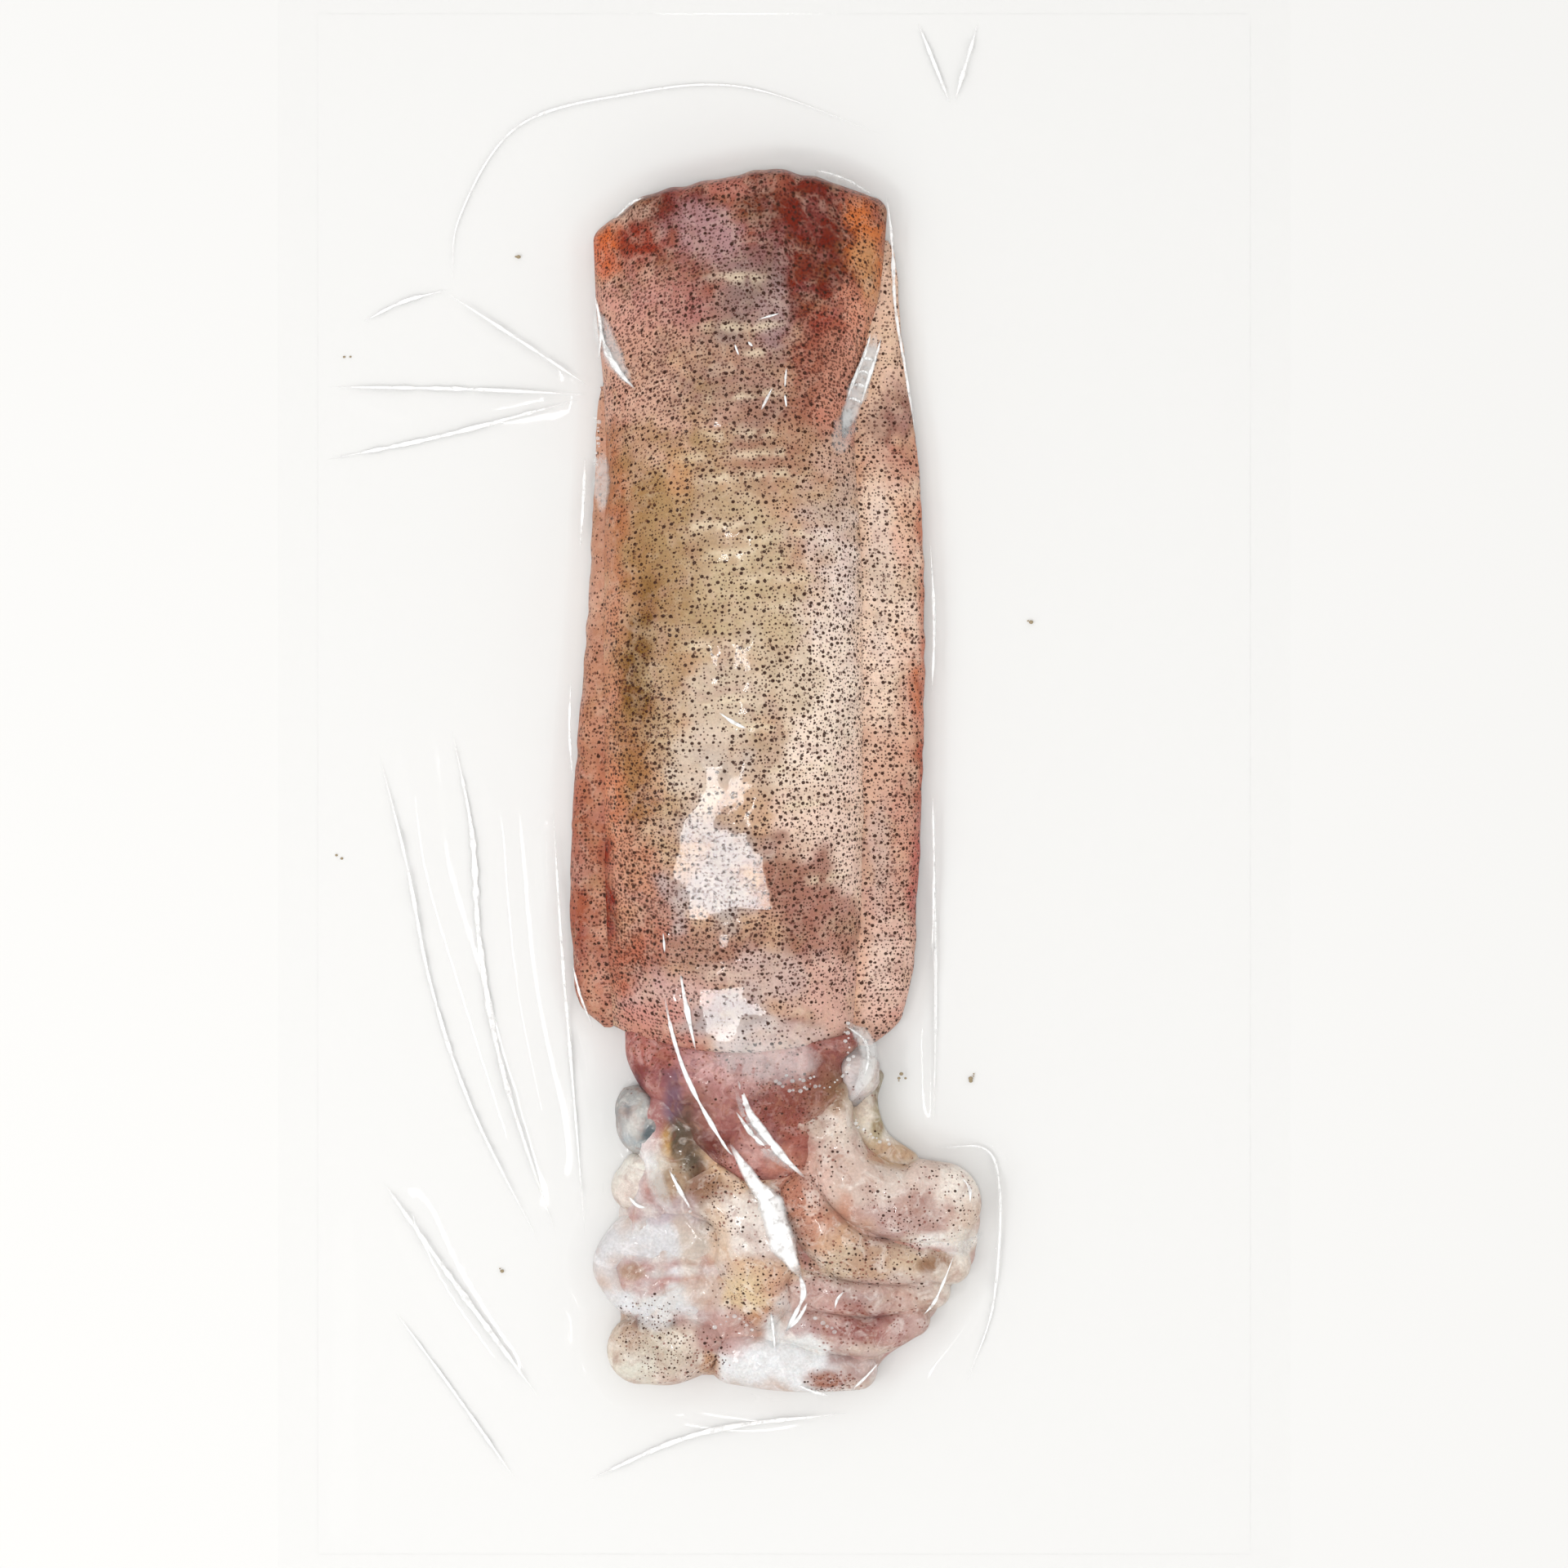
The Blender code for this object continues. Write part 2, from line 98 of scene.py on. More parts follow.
LEFT_FIN_TINTS = (
    (-48, 70, 8, 40, "#bd907a"), (-48, 30, 8, 22, "#b08068"), (-49, 0, 8, 20, "#ad7058"),
    (-50, -28, 8, 16, "#96503a"), (-49, -50, 8, 9, "#b07a68"), (-52, 0, 1.6, 60, "#a65a44", 0.6),
    # the pale short streaks along the fin are painted highlights
    (-47, 12, 2, 60, "#b6866e", 0.6), (-48, 44, 2, 10, "#cfac9e", 0.5), (-48, -6, 2, 9, "#9c6048", 0.6),
    (-50, -20, 2.5, 7, "#b88c80", 0.5), (-49, 84, 2.5, 8, "#cba898", 0.5), (-51, 24, 2, 6, "#c49a8a", 0.5),
    (-50, -40, 2, 5, "#8c4436", 0.6),
)
RIGHT_FIN_TINTS = (
    (27, 112, 6, 26, "#e0c4b2"), (26, 88, 6, 7, "#70362a"), (26, 78, 8, 6, "#b88070", 0.9),
    # the long strip along the fin's root at x 22 is painted shade, darkened to meet the shaded side of the mantle
    (22, 20, 3.5, 90, "#d2b9a8", 0.6), (25, 60, 9, 12, "#dcc3b1"), (25, 32, 9, 26, "#e6d2c4"),
    (34.5, 36, 2.2, 36, "#c07860", 0.9), (25, 0, 9, 14, "#cfac9a"), (34, 0, 2.4, 16, "#ac5a48", 0.9),
    (26, -24, 8, 16, "#c4a094"), (33.5, -30, 2.6, 18, "#b0605a", 0.85), (26, -48, 8, 14, "#dcbeb4"),
    (26, -62, 7, 6, "#d0aa9e"), (32, 24, 1.5, 7, "#c06a3c", 0.8), (30, 90, 2, 6, "#b08884", 0.7),
    (23.5, 50, 2.5, 18, "#dccfc8", 0.6), (30, 20, 2.5, 11, "#d09c88", 0.5), (29, -10, 3, 9, "#c08878", 0.5),
    (23.5, -20, 2.5, 14, "#ccb8b2", 0.6), (30, 62, 2.5, 9, "#d4a490", 0.5), (24, -44, 3, 7, "#e4d4cc", 0.5),
    (31, 44, 1.8, 6, "#e4d0c4", 0.5), (30, -56, 3, 5, "#c89488", 0.5),
)
HEAD_TINTS = (
    # mauve flesh between the eyes, red to the left of it, brown to the right
    (-34, -64, 7, 7, "#a8706a"), (-36, -72, 5, 7, "#7e4040"), (-32, -77, 3.5, 7, "#a06e6c"),
    (-18, -70, 8, 10, "#b0888a", 0.9), (-9, -69, 9, 8, "#b89e9c", 0.9), (0, -81, 7, 10, "#7e463e", 0.9),
    (-8, -82, 6, 6, "#824c48", 0.8), (10, -65, 8, 6, "#92605a"), (8, -72, 6, 5, "#886054", 0.9),
    (-26.5, -79, 2.4, 9, "#765e6e"), (-23, -91, 5.5, 10, "#5a4e40"), (-21, -83, 3.5, 7, "#604e42", 0.9),
    (-16, -89, 3, 3.5, "#561c0c", 0.9), (-29, -89.5, 1.3, 4.5, "#b9925e"), (13, -78, 6, 6, "#84674f"),
    (6, -86, 5, 4, "#9c6458", 0.8), (2, -93, 6, 4, "#b28270", 0.9), (17, -79, 3, 8, "#ded0c0"),
    (-8, -90, 6, 4, "#c4a6a0", 0.8), (-30, -70, 3, 4, "#7c4c56", 0.8), (-12, -77, 4, 4, "#8c5854", 0.7),
    (-10, -78, 5, 5, "#a27a76", 0.6), (-19, -77, 3, 8, "#9c706a", 0.7), (9, -82, 3.5, 5, "#a48f7e", 0.7),
    (-8, -69, 9, 5, "#baa4a2", 0.9), (-1, -66, 6, 3, "#cdbab8", 0.8), (-2, -77, 5, 4, "#845248", 0.8),
    (-30, -66, 5, 3, "#a4685e", 0.7), (-37, -75, 2.4, 3, "#5e303c", 0.8), (-20, -68, 5, 3, "#d0b4b6", 0.7),
)
EYE_TINTS = (
    (-34, -83, 9, 9, "#a4a4a2"), (-33, -85, 2.6, 3, "#5c6468"), (-36.5, -83.5, 2, 3, "#c4c3be", 0.9),
    (-38.2, -79.5, 1, 1.8, "#404e56"), (-38.4, -86.5, 1, 1.2, "#949ea4"), (-35.5, -87.5, 1.6, 0.9, "#7c8c94", 0.8),
    (-31, -80, 2, 4, "#7c6468", 0.8), (16.5, -69, 8, 8, "#c0b6b4"), (14.5, -72, 3, 3, "#d6cccc", 0.7),
    (21, -71.5, 1.6, 5, "#d2ccc6"), (-29, -89.5, 1.3, 4.5, "#b9925e"),
)
ARM_TINTS = (
    # arm that lies over the others, from the head to its tan end
    (-13, -96, 8, 6, "#eac8a4"), (-20, -99, 5, 6, "#7c543e", 0.9), (-10, -106, 9, 8, "#dcd2ca"),
    (-17, -108, 3, 8, "#d0b8a2", 0.9), (-7, -119, 8, 4, "#c9aa8e"), (-10, -125, 8, 6, "#d0b896"),
    (-6, -131, 8, 3.5, "#a87044", 0.9), (-2, -110, 4, 9, "#dacec8", 0.9), (-1.5, -122, 3, 3, "#c4957a", 0.7),
    # pale and pink arm that curls to the right
    (12.8, -88, 6, 6, "#d4c6bb"), (14, -96, 6, 7, "#cab4a9"), (20, -103, 6, 5, "#b58f84", 0.9),
    (29, -99, 8, 6, "#ccbcb2"), (26, -107, 7, 4, "#b69a94"), (37, -104, 7, 6, "#b4968e"), (43, -97, 6, 6, "#e6ddd4"),
    (45, -106, 4, 6, "#d3bfb0", 0.8), (38.5, -111.6, 6, 1.8, "#e8e4e0"), (28, -91, 7, 2.5, "#b89a7a", 0.9),
    (33, -96, 5, 3, "#d8c4ba", 0.7),
    # brown and olive arm below it
    (3, -101, 5, 8, "#ac7460"), (9, -106, 5, 6, "#c1907a"), (15, -112, 6, 5, "#c8a284"), (14, -118, 7, 4, "#c2ae98"),
    (24, -117, 7, 5, "#b4957e"), (32, -118, 6, 4, "#ccb69e"), (38, -117.5, 5, 3, "#8e6c54"),
    (44, -116, 3, 5, "#e0d8ce"), (5, -110, 3, 3, "#a86e56", 0.6),
    # grey-pink, mauve and dark red arms
    (16, -125.5, 12, 4, "#ac928c"), (7, -127, 5, 4, "#c0a098", 0.9), (32, -125, 9, 4, "#c3b2a9"),
    (40, -122, 3, 4, "#cfc6bc", 0.9), (18, -133, 9, 5, "#945f5a"), (31, -130.5, 6, 5, "#be9e92"),
    (5, -134, 6, 4, "#ae8e8c"), (12, -130, 4, 2.5, "#c8a6a0", 0.8), (27, -134.5, 5, 3, "#b28882", 0.7),
    (21, -131, 6, 2.4, "#8c5a58", 0.8), (31, -133.5, 4, 2.6, "#b89c98", 0.8), (10, -124.5, 6, 1.6, "#a5807a", 0.8),
    (22, -123, 7, 1.6, "#c2a49a", 0.8), (11, -136.5, 6, 1.6, "#cbb4ae", 0.8), (35, -127, 3, 2.6, "#b99f90", 0.8),
    (3, -130, 4, 2.4, "#b09088", 0.7), (27, -127.5, 5, 1.4, "#bca49c", 0.7),
    # white arm with its brown end
    (-7, -141, 10, 8, "#dadad9"), (6, -142, 8, 6, "#dadad9"), (17, -143.5, 5, 4, "#a98c88"),
    (10.5, -146.5, 4.4, 2.2, "#9c6c5a"), (-13, -136, 4, 4, "#bf9d99", 0.9), (21, -142, 3, 3, "#c1aaa3", 0.9),
    # rolled end
    (-30, -136, 8, 6, "#beb2a2"), (-40, -135, 4, 5, "#b09a88", 0.9), (-38, -142, 7, 5, "#d0ccc0"),
    (-18.5, -141, 2, 5, "#b48866", 0.9), (-30, -131.4, 6, 1.8, "#4a281c", 0.9), (-24, -134, 4, 5, "#dcd0c2", 0.8),
    (-18, -133, 3, 5, "#9a726c", 0.9),
    # bluish-white hairpin arm, with the brown gap inside its bend
    (-33, -111, 14, 8, "#cecccc"), (-33, -127, 14, 5, "#d2d1d1"), (-37, -119.6, 3, 1.6, "#a88c7c"),
    (-31, -120, 2.4, 1.2, "#c4bebc", 0.8), (-21, -110, 3.5, 8, "#bbafa3", 0.9), (-18, -126, 4, 5, "#c6b2a8", 0.9),
    (-29, -105, 4, 2.4, "#bcacb0", 0.8), (-23, -119, 6, 1.8, "#dee2e6", 0.8), (-28, -97, 4, 5, "#a69078", 0.9),
    (-31, -93, 3, 4, "#cfc6ba", 0.9),
    # loose skin that shows where the arms part
    (-36, -91, 4.5, 6, "#dedcdc"), (-24, -104, 3.5, 4, "#b6a3a4", 0.8), (-24, -114, 3, 8, "#c9b9aa", 0.8),
    (-14, -132, 8, 5, "#b8968f", 0.9), (43, -112, 6, 3, "#ddd4ca", 0.9), (42, -124, 6, 5, "#d6ccc2", 0.8),
    (8, -96, 3, 5, "#d4b4a8", 0.7), (-42, -137, 3, 8, "#cbbbab", 0.8), (-41, -105, 3, 4, "#dcd8d4", 0.8),
    (1.5, -126, 3, 5, "#d4beb6", 0.7),
)
TENTACLE_TINTS = (
    (-35, -94, 6, 6, "#ddd9d1"), (-30, -102, 5, 3, "#d2c6c4", 0.9), (-38, -101, 4, 3, "#d6cac2", 0.8),
    (24, -75, 1.8, 4.5, "#857a62"), (18.5, -80, 3, 6, "#dfd6c6"), (23, -84, 1.8, 4, "#a19274"),
    (27, -91, 7, 2.6, "#bd9f80", 0.9), (21, -89, 3, 3, "#c4af92", 0.9),
)
# How many pigment spots: x, y, half width, half length, (large dark, small dark, spread red).
SPOTS = (
    (5, 128, 12, 26, (0.6, 1, 0.6)), (-29, 138, 12, 9, (0.4, 1, 0.6)), (-43, 130, 8, 12, (0.3, 1, 0.35)),
    (20, 132, 7, 12, (0.5, 1, 0.5)), (-18, 131, 8, 9, (0.3, 0.7, 0.4)), (-34, 110, 14, 16, (0.3, 0.9, 0.7)),
    (-12, 104, 12, 20, (0.45, 0.9, 0.25)), (12, 104, 9, 12, (0.4, 1, 0.9)), (-12, 72, 28, 16, (0.5, 0.8, 0.15)),
    (-30, 50, 12, 26, (0.45, 0.6, 0.05)), (-8, 45, 14, 24, (0.55, 0.6, 0)), (13, 26, 12, 44, (1, 0.85, 0.05)),
    (-35, 6, 6, 34, (1, 1, 0.35)), (-42, 14, 3, 44, (0.8, 0.8, 0.5)), (-16, 12, 8, 16, (0.3, 0.4, 0)),
    (-2, 2, 9, 20, (0.9, 0.7, 0.1)), (14, -22, 11, 18, (0.7, 0.7, 0.2)), (-38, -34, 10, 16, (0.6, 0.8, 0.9)),
    (-10, -34, 16, 12, (0.7, 0.8, 0.4)), (-12, -50, 22, 8, (0.5, 0.6, 0.3)), (12, -60, 10, 6, (0.2, 0.3, 0.1)),
    (-8, -61, 19, 7, (0.12, 0.22, 0.05)), (-48, 60, 6, 50, (0.15, 0.3, 0.1)), (-50, -10, 6, 50, (0.25, 0.4, 0.5)),
    (28, 100, 7, 36, (0.25, 0.5, 0.3)), (28, 36, 7, 40, (0.6, 0.7, 0.2)), (28, -30, 7, 36, (0.7, 0.8, 0.35)),
    (-34, -66, 9, 8, (0.2, 0.6, 0.6)), (-10, -70, 14, 8, (0.15, 0.4, 0.3)), (2, -78, 9, 9, (0.2, 0.9, 0.6)),
    (-14, -97, 8, 6, (0.4, 0.9, 0.3)), (-9, -107, 8, 8, (0.2, 0.4, 0.1)), (-16, -106, 3, 8, (0.5, 0.9, 0.3)),
    (-8, -123, 9, 8, (0.5, 0.9, 0.2)), (14, -92, 8, 12, (0.35, 0.3, 0.05)), (27, -106, 7, 5, (0.5, 0.9, 0.2)),
    (38, -101, 9, 9, (0.15, 0.35, 0.1)), (4, -102, 6, 9, (0.9, 0.8, 0.8)), (12, -117, 10, 6, (0.9, 0.9, 0.2)),
    (24, -116, 10, 6, (0.4, 0.7, 0.3)), (-29, -136, 9, 8, (0.25, 1, 0.1)), (-19, -141, 4, 6, (0.5, 1, 0.6)),
    (11, -147, 6, 3, (0.6, 0.9, 0.9)), (20, -131, 14, 6, (0, 0.2, 0.5)),
)


# ---------------------------------------------------------------- fields over the plan
def eased(t):
    """Smooth step from 0 to 1."""
    return t * t * (3 - 2 * t)


def tapered(share, rate=6):
    """1 along a line, falling to 0 at both its ends."""
    return np.clip(rate * share, 0, 1) * np.clip(rate * (1 - share), 0, 1)


def length_of(line):
    return np.linalg.norm(np.diff(np.array(line, float), axis=0), axis=1).sum()


def patchy(x, y, size, seed, octaves=2):
    """Smooth random field from about -1 to 1 over the plan, with lumps of the size given."""
    lattice = np.random.RandomState(seed).uniform(-1, 1, (128, 128))
    total = np.zeros(np.broadcast(x, y).shape)
    for octave in range(octaves):
        u = np.asarray(x) / size * 2 ** octave + 900.3 + 7.7 * octave
        v = np.asarray(y) / size * 2 ** octave + 900.8 + 3.1 * octave
        iu, iv = np.floor(u).astype(int), np.floor(v).astype(int)
        fu, fv = u - iu, v - iv
        fu, fv = eased(fu), eased(fv)
        near = lattice[iu % 128, iv % 128] * (1 - fu) + lattice[(iu + 1) % 128, iv % 128] * fu
        far = lattice[iu % 128, (iv + 1) % 128] * (1 - fu) + lattice[(iu + 1) % 128, (iv + 1) % 128] * fu
        total += (near * (1 - fv) + far * fv) * 0.5 ** octave
    return total


def patch_weight(x, y, patch, ragged=0.5):
    """How strongly a patch of colour covers each place: 1 in its middle, with a ragged soft edge."""
    px, py, rx, ry = patch[:4]
    far = np.hypot((x - px) / rx, (y - py) / ry) + ragged * patchy(x, y, 6.0, int(abs(px * 7 + py * 3)) + 5, 3)
    return eased(np.clip(1.5 - far, 0, 1)) * (patch[5] if len(patch) > 5 else 1)


def painted(x, y, ground, patches):
    """Ground colour with the patches laid over it in order."""
    colour = np.tile(np.array(ground, float), (len(x), 1))
    for patch in patches:
        over = np.array(linear(patch[4]) if isinstance(patch[4], str) else patch[4])
        weight = patch_weight(x, y, patch)[:, None]
        colour = colour * (1 - weight) + over * weight
    return colour


def along_line(x, y, line):
    """Distance from a line of points, and the share of its length at the nearest place."""
    line = np.array(line, float)
    best, share = np.full(np.shape(x), 1e9), np.zeros(np.shape(x))
    lengths = np.linalg.norm(np.diff(line, axis=0), axis=1)
    start = 0.0
    for first, last, length in zip(line, line[1:], lengths):
        step = (last - first) / length
        along = np.clip((x - first[0]) * step[0] + (y - first[1]) * step[1], 0, length)
        away = np.hypot(x - first[0] - along * step[0], y - first[1] - along * step[1])
        share = np.where(away < best, (start + along) / lengths.sum(), share)
        best = np.minimum(best, away)
        start += length
    return best, share


# ---------------------------------------------------------------- meshes
def smooth_curve(points, count):
    """Catmull-Rom curve through points of any dimension, read at count even steps."""
    points = np.array(points, float)
    padded = np.vstack([2 * points[0] - points[1], points, 2 * points[-1] - points[-2]])
    steps = np.linspace(0, len(points) - 1, count)
    span = np.minimum(steps.astype(int), len(points) - 2)
    t = (steps - span)[:, None]
    a, b, c, d = (padded[span + k] for k in range(4))
    return 0.5 * (2 * b + (c - a) * t + (2 * a - 5 * b + 4 * c - d) * t ** 2 + (3 * b - a - 3 * c + d) * t ** 3)


def at_stations(table, places):
    """Rows of a station table at places between the values of its first column, eased between rows."""
    rows = np.array(table, float)
    span = np.clip(np.searchsorted(rows[:, 0], places) - 1, 0, len(rows) - 2)
    low, high = rows[span], rows[span + 1]
    before, after = rows[np.maximum(span - 1, 0)], rows[np.minimum(span + 2, len(rows) - 1)]
    width = (high[:, :1] - low[:, :1])
    t = np.clip((np.asarray(places)[:, None] - low[:, :1]) / width, 0, 1)
    slope_low = (high - before) / np.maximum(high[:, :1] - before[:, :1], 1e-6) * width
    slope_high = (after - low) / np.maximum(after[:, :1] - low[:, :1], 1e-6) * width
    return ((2 * t ** 3 - 3 * t ** 2 + 1) * low + (t ** 3 - 2 * t ** 2 + t) * slope_low
            + (3 * t ** 2 - 2 * t ** 3) * high + (t ** 3 - t ** 2) * slope_high)[:, 1:]


def new_piece(name, points, faces, node, skin_map=None):
    """A smooth mesh object from points in millimetres, riding on the part in place of a CAD node."""
    mesh = bpy.data.meshes.new(name)
    mesh.from_pydata((np.asarray(points) * MM).tolist(), [], faces)
    mesh.polygons.foreach_set("use_smooth", [True] * len(mesh.polygons))
    if skin_map is not None:
        layer = mesh.uv_layers.new(name="skin")
        layer.data.foreach_set("uv", (np.asarray(skin_map) * MM).ravel())
    mesh.validate()
    piece = bpy.data.objects.new(name, mesh)
    bpy.context.scene.collection.objects.link(piece)
    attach(piece, "root")
    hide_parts(node)
    return piece


def loft(name, rings, node):
    """A closed surface through rings of points, with its own map: round the ring, and along the body."""
    rings = np.asarray(rings)
    count, around = rings.shape[:2]
    closed = np.concatenate([rings, rings[:, :1]], axis=1)
    girth = np.linalg.norm(np.diff(closed, axis=1), axis=2)
    u = np.concatenate([np.zeros((count, 1)), np.cumsum(girth, axis=1)], axis=1)
    u -= u[:, around // 4:around // 4 + 1]
    steps = np.linalg.norm(np.diff(rings.mean(axis=1), axis=0), axis=1)
    v = np.concatenate([[0], np.cumsum(steps)])
    row, column = np.meshgrid(np.arange(count - 1), np.arange(around), indexing="ij")
    corners = ((0, 0), (0, 1), (1, 1), (1, 0))
    quads = np.stack([(row + up) * around + (column + on) % around for up, on in corners], -1).reshape(-1, 4)
    skin_map = np.stack([np.stack([u[row + up, column + on], v[row + up]], -1) for up, on in corners], -2)
    middles = [rings[0].mean(axis=0), rings[-1].mean(axis=0)]
    points = np.vstack([rings.reshape(-1, 3), middles])
    caps, cap_map = [], []
    for hub, ring in ((count * around, 0), (count * around + 1, count - 1)):
        for k in range(around):
            pair = (ring * around + k, ring * around + (k + 1) % around)
            caps.append((hub, *(pair[::-1] if ring == 0 else pair)))
            cap_map += [(0.0, v[ring])] * 3
    piece = new_piece(name, points, quads.tolist() + caps, node,
                      np.vstack([skin_map.reshape(-1, 2), cap_map]))
    return outward(piece)


def outward(piece):
    """Turn a closed piece's faces outwards if its volume comes out negative."""
    mesh = piece.data
    mesh.calc_loop_triangles()
    corners = np.empty(len(mesh.vertices) * 3)
    mesh.vertices.foreach_get("co", corners)
    faces = np.empty(len(mesh.loop_triangles) * 3, dtype=np.int32)
    mesh.loop_triangles.foreach_get("vertices", faces)
    a, b, c = (corners.reshape(-1, 3)[faces.reshape(-1, 3)[:, k]] for k in range(3))
    if np.einsum("ij,ij->i", a, np.cross(b, c)).sum() < 0:
        mesh.flip_normals()
    return piece


def places_of(piece):
    """The piece's points in millimetres."""
    points = np.empty(len(piece.data.vertices) * 3)
    piece.data.vertices.foreach_get("co", points)
    return points.reshape(-1, 3) / MM


def paint(piece, ground, tints, ground_spots=(0.2, 0.3, 0.1), stripes=0.0):
    """Give every point its skin colour, with pale stripes over it, and its amounts of pigment spots."""
    x, y, _ = places_of(piece).T
    tint = painted(x, y, linear(ground), tints)
    if stripes:
        pale = stripes * stripe_weight(x, y)[:, None]
        tint = tint * (1 - pale) + np.array(linear("#e2d8c2")) * pale
    for name, values in (("tint", tint), ("spots", painted(x, y, ground_spots, SPOTS))):
        layer = piece.data.attributes.new(name, "FLOAT_COLOR", "POINT")
        layer.data.foreach_set("color", np.column_stack([values, np.ones(len(x))]).ravel())


# ---------------------------------------------------------------- mantle and fins
TAIL_LINE = {"at": 151.0, "bow": -0.0085, "middle": -5.5}
RIM_LINE = {"at": -65.0, "bow": 0.0055, "middle": -10.0}
MANTLE_HEIGHT, MANTLE_EDGE, COLLAR_WALL, COLLAR_FLOOR = 24.0, 3.5, 3.0, -58.0
MANTLE_SIDES = (
    (0.00, -42, 17.5, 0.80), (0.06, -45, 20, 0.90), (0.20, -45.5, 21, 1.00), (0.42, -45.5, 21, 1.00),
    (0.57, -45, 20.5, 0.97), (0.70, -44, 18.5, 0.92), (0.80, -44.5, 20, 0.86), (0.88, -46, 23.5, 0.78),
    (1.00, -47, 25.6, 0.62),
)
LEFT_FIN_EDGE = ((-60, -46, 0.5), (-54, -50.5, 0.8), (-46, -51.6, 1), (-28, -52.6, 1),
                 (2, -51.4, 1), (24, -49.6, 0.95), (52, -47.8, 0.85), (80, -46.2, 0.7),
                 (98, -46, 0.5))
RIGHT_FIN_EDGE = ((-64.5, 24, 0.5), (-57, 29, 0.8), (-46, 31.6, 1), (-28, 32.8, 1),
                  (12, 34.4, 1), (52, 34.4, 0.95), (72, 33.6, 0.9), (90, 31.6, 0.8),
                  (110, 29, 0.65), (134, 27.6, 0.4))
FIN_HEIGHT = 10.0
# Pale raised stripes across the back: y, left end, right end, how much higher the right end lies.
STRIPES = (
    (123.5, -19, -3, 0.3), (111.5, -23, 2, 0.8), (105, -11, -1, 1), (94.5, -21, 2, 1.2), (85, -22, 2, 1),
    (80, -29, 8, 1.2), (75, -24, 10, 1.5), (63, -26, -6, 1), (60, -15, 12, 1.8), (56, -20, -4, 0.8),
    (50, -12, 9, 1.2), (43, -14, 6, 1.6), (34, -27, -8, 1), (20, -22, -6, 1.4), (14, -18, 4, 1.2), (4, -6, 14, 1.4),
    (-5, -2, 12, 1.6), (-23, 4, 16, 1.5),
)


def bowed(line, x):
    return line["at"] + line["bow"] * (x - line["middle"]) ** 2


def stripe_weight(x, y):
    """Strength of the pale stripes, broken into short strokes."""
    weight = np.zeros_like(x)
    for at, left, right, rise in STRIPES:
        t = (x - left) / (right - left)
        line = at + rise * (t - 0.5) + 0.5 * patchy(x, y, 6.0, 31)
        broken = np.clip(0.7 + 1.3 * patchy(x, y, 2.6, 37, 2), 0, 1)
        stroke = np.exp(-((y - line) / 1.15) ** 2) * tapered(t, 4) * broken
        weight = np.maximum(weight, stroke)
    return weight * np.clip((y + 58) / 4, 0, 1)


def mantle_relief(x, y):
    """Height of the back's ripples and folds above the plain dome."""
    middle = np.exp(-((x + 12) / 20) ** 2)
    ripples = 0.10 * np.sin(y / 1.15 + 2.2 * patchy(x, y, 14, 3)) * middle * np.clip(patchy(x, y, 20, 4) + 0.4, 0, 1)
    lumps = 0.45 * patchy(x, y, 16, 5, 3) + 0.04 * patchy(x, y, 3.0, 6)
    folds = np.zeros_like(x)
    for line, depth, width in (
            (((-22, -15), (-12, -12.5), (-2, -14), (6, -12)), 0.7, 1.3),
            (((-20, -44), (-10, -42), (0, -43.5)), 0.6, 1.2),
            (((-30, 86), (-24, 76), (-22, 64)), 0.4, 2.0),
            (((4, 128), (0, 108), (6, 92)), 0.5, 3.0),
            (((-40, 132), (-36, 112), (-38, 92)), 0.4, 2.5)):
        away, _ = along_line(x, y, line)
        folds -= depth * np.exp(-(away / width) ** 2)
    return ripples + lumps + folds + 0.22 * stripe_weight(x, y)


def make_mantle():
    """Body: a low dome from the open rim to the rounded tail, with a collar turned in at the rim."""
    rows, tail = int(360 * FINE), 0.985
    turns = np.radians([8, 18, 28, 38, 48, 58, 68, 79])[::-1]
    places = np.concatenate([np.linspace(0, tail, rows), tail + (1 - tail) * np.cos(turns)])
    kept = np.concatenate([np.ones(rows), np.sin(turns)])[:, None]
    left, right, share = at_stations(MANTLE_SIDES, places).T[:, :, None]
    shares = np.sin(np.radians(np.linspace(-90, 90, int(150 * FINE))))[None]
    middle, half = (left + right) / 2, (right - left) / 2
    x = middle + half * shares * (0.9 + 0.1 * kept)
    y = bowed(RIM_LINE, x) + places[:, None] * (bowed(TAIL_LINE, x) - bowed(RIM_LINE, x))
    y += 1.1 * patchy(x, y * 0, 8, 12) * np.clip((places[:, None] - 0.9) / 0.1, 0, 1)
    dome = np.sqrt(np.clip(1 - np.abs(shares) ** 2.5, 0, 1))
    z = BASE + kept * (MANTLE_EDGE + (MANTLE_HEIGHT * share - MANTLE_EDGE) * dome)
    z += mantle_relief(x, y) * np.clip(dome * 2, 0, 1) * kept
    under_x = x[:, ::-6]
    under = np.stack([under_x, y[:, ::-6], np.full_like(under_x, BASE)], -1)
    rings = np.concatenate([np.stack([x, y, z], -1), under], axis=1)
    first = rings[0]
    centre = first.mean(axis=0)
    inner = first.copy()
    inner[:, 0] = centre[0] + (first[:, 0] - centre[0]) * (1 - 2 * COLLAR_WALL / 60)
    inner[:, 2] = np.clip(first[:, 2] - COLLAR_WALL, BASE + COLLAR_WALL, None)
    floor = inner.copy()
    floor[:, 1] = COLLAR_FLOOR
    lip = (first + inner) / 2 - (0, 0.8, 0)
    return loft("mantle_skin_piece", np.concatenate([[floor], [inner], [lip], rings]), "mantle")


def mantle_side(y, column):
    """X of the mantle's left (0) or right (1) side where it passes y."""
    places = np.linspace(0, 1, 161)
    sides = at_stations(MANTLE_SIDES, places)[:, column]
    rim, tail = bowed(RIM_LINE, sides), bowed(TAIL_LINE, sides)
    return np.interp(y, rim + places * (tail - rim), sides)


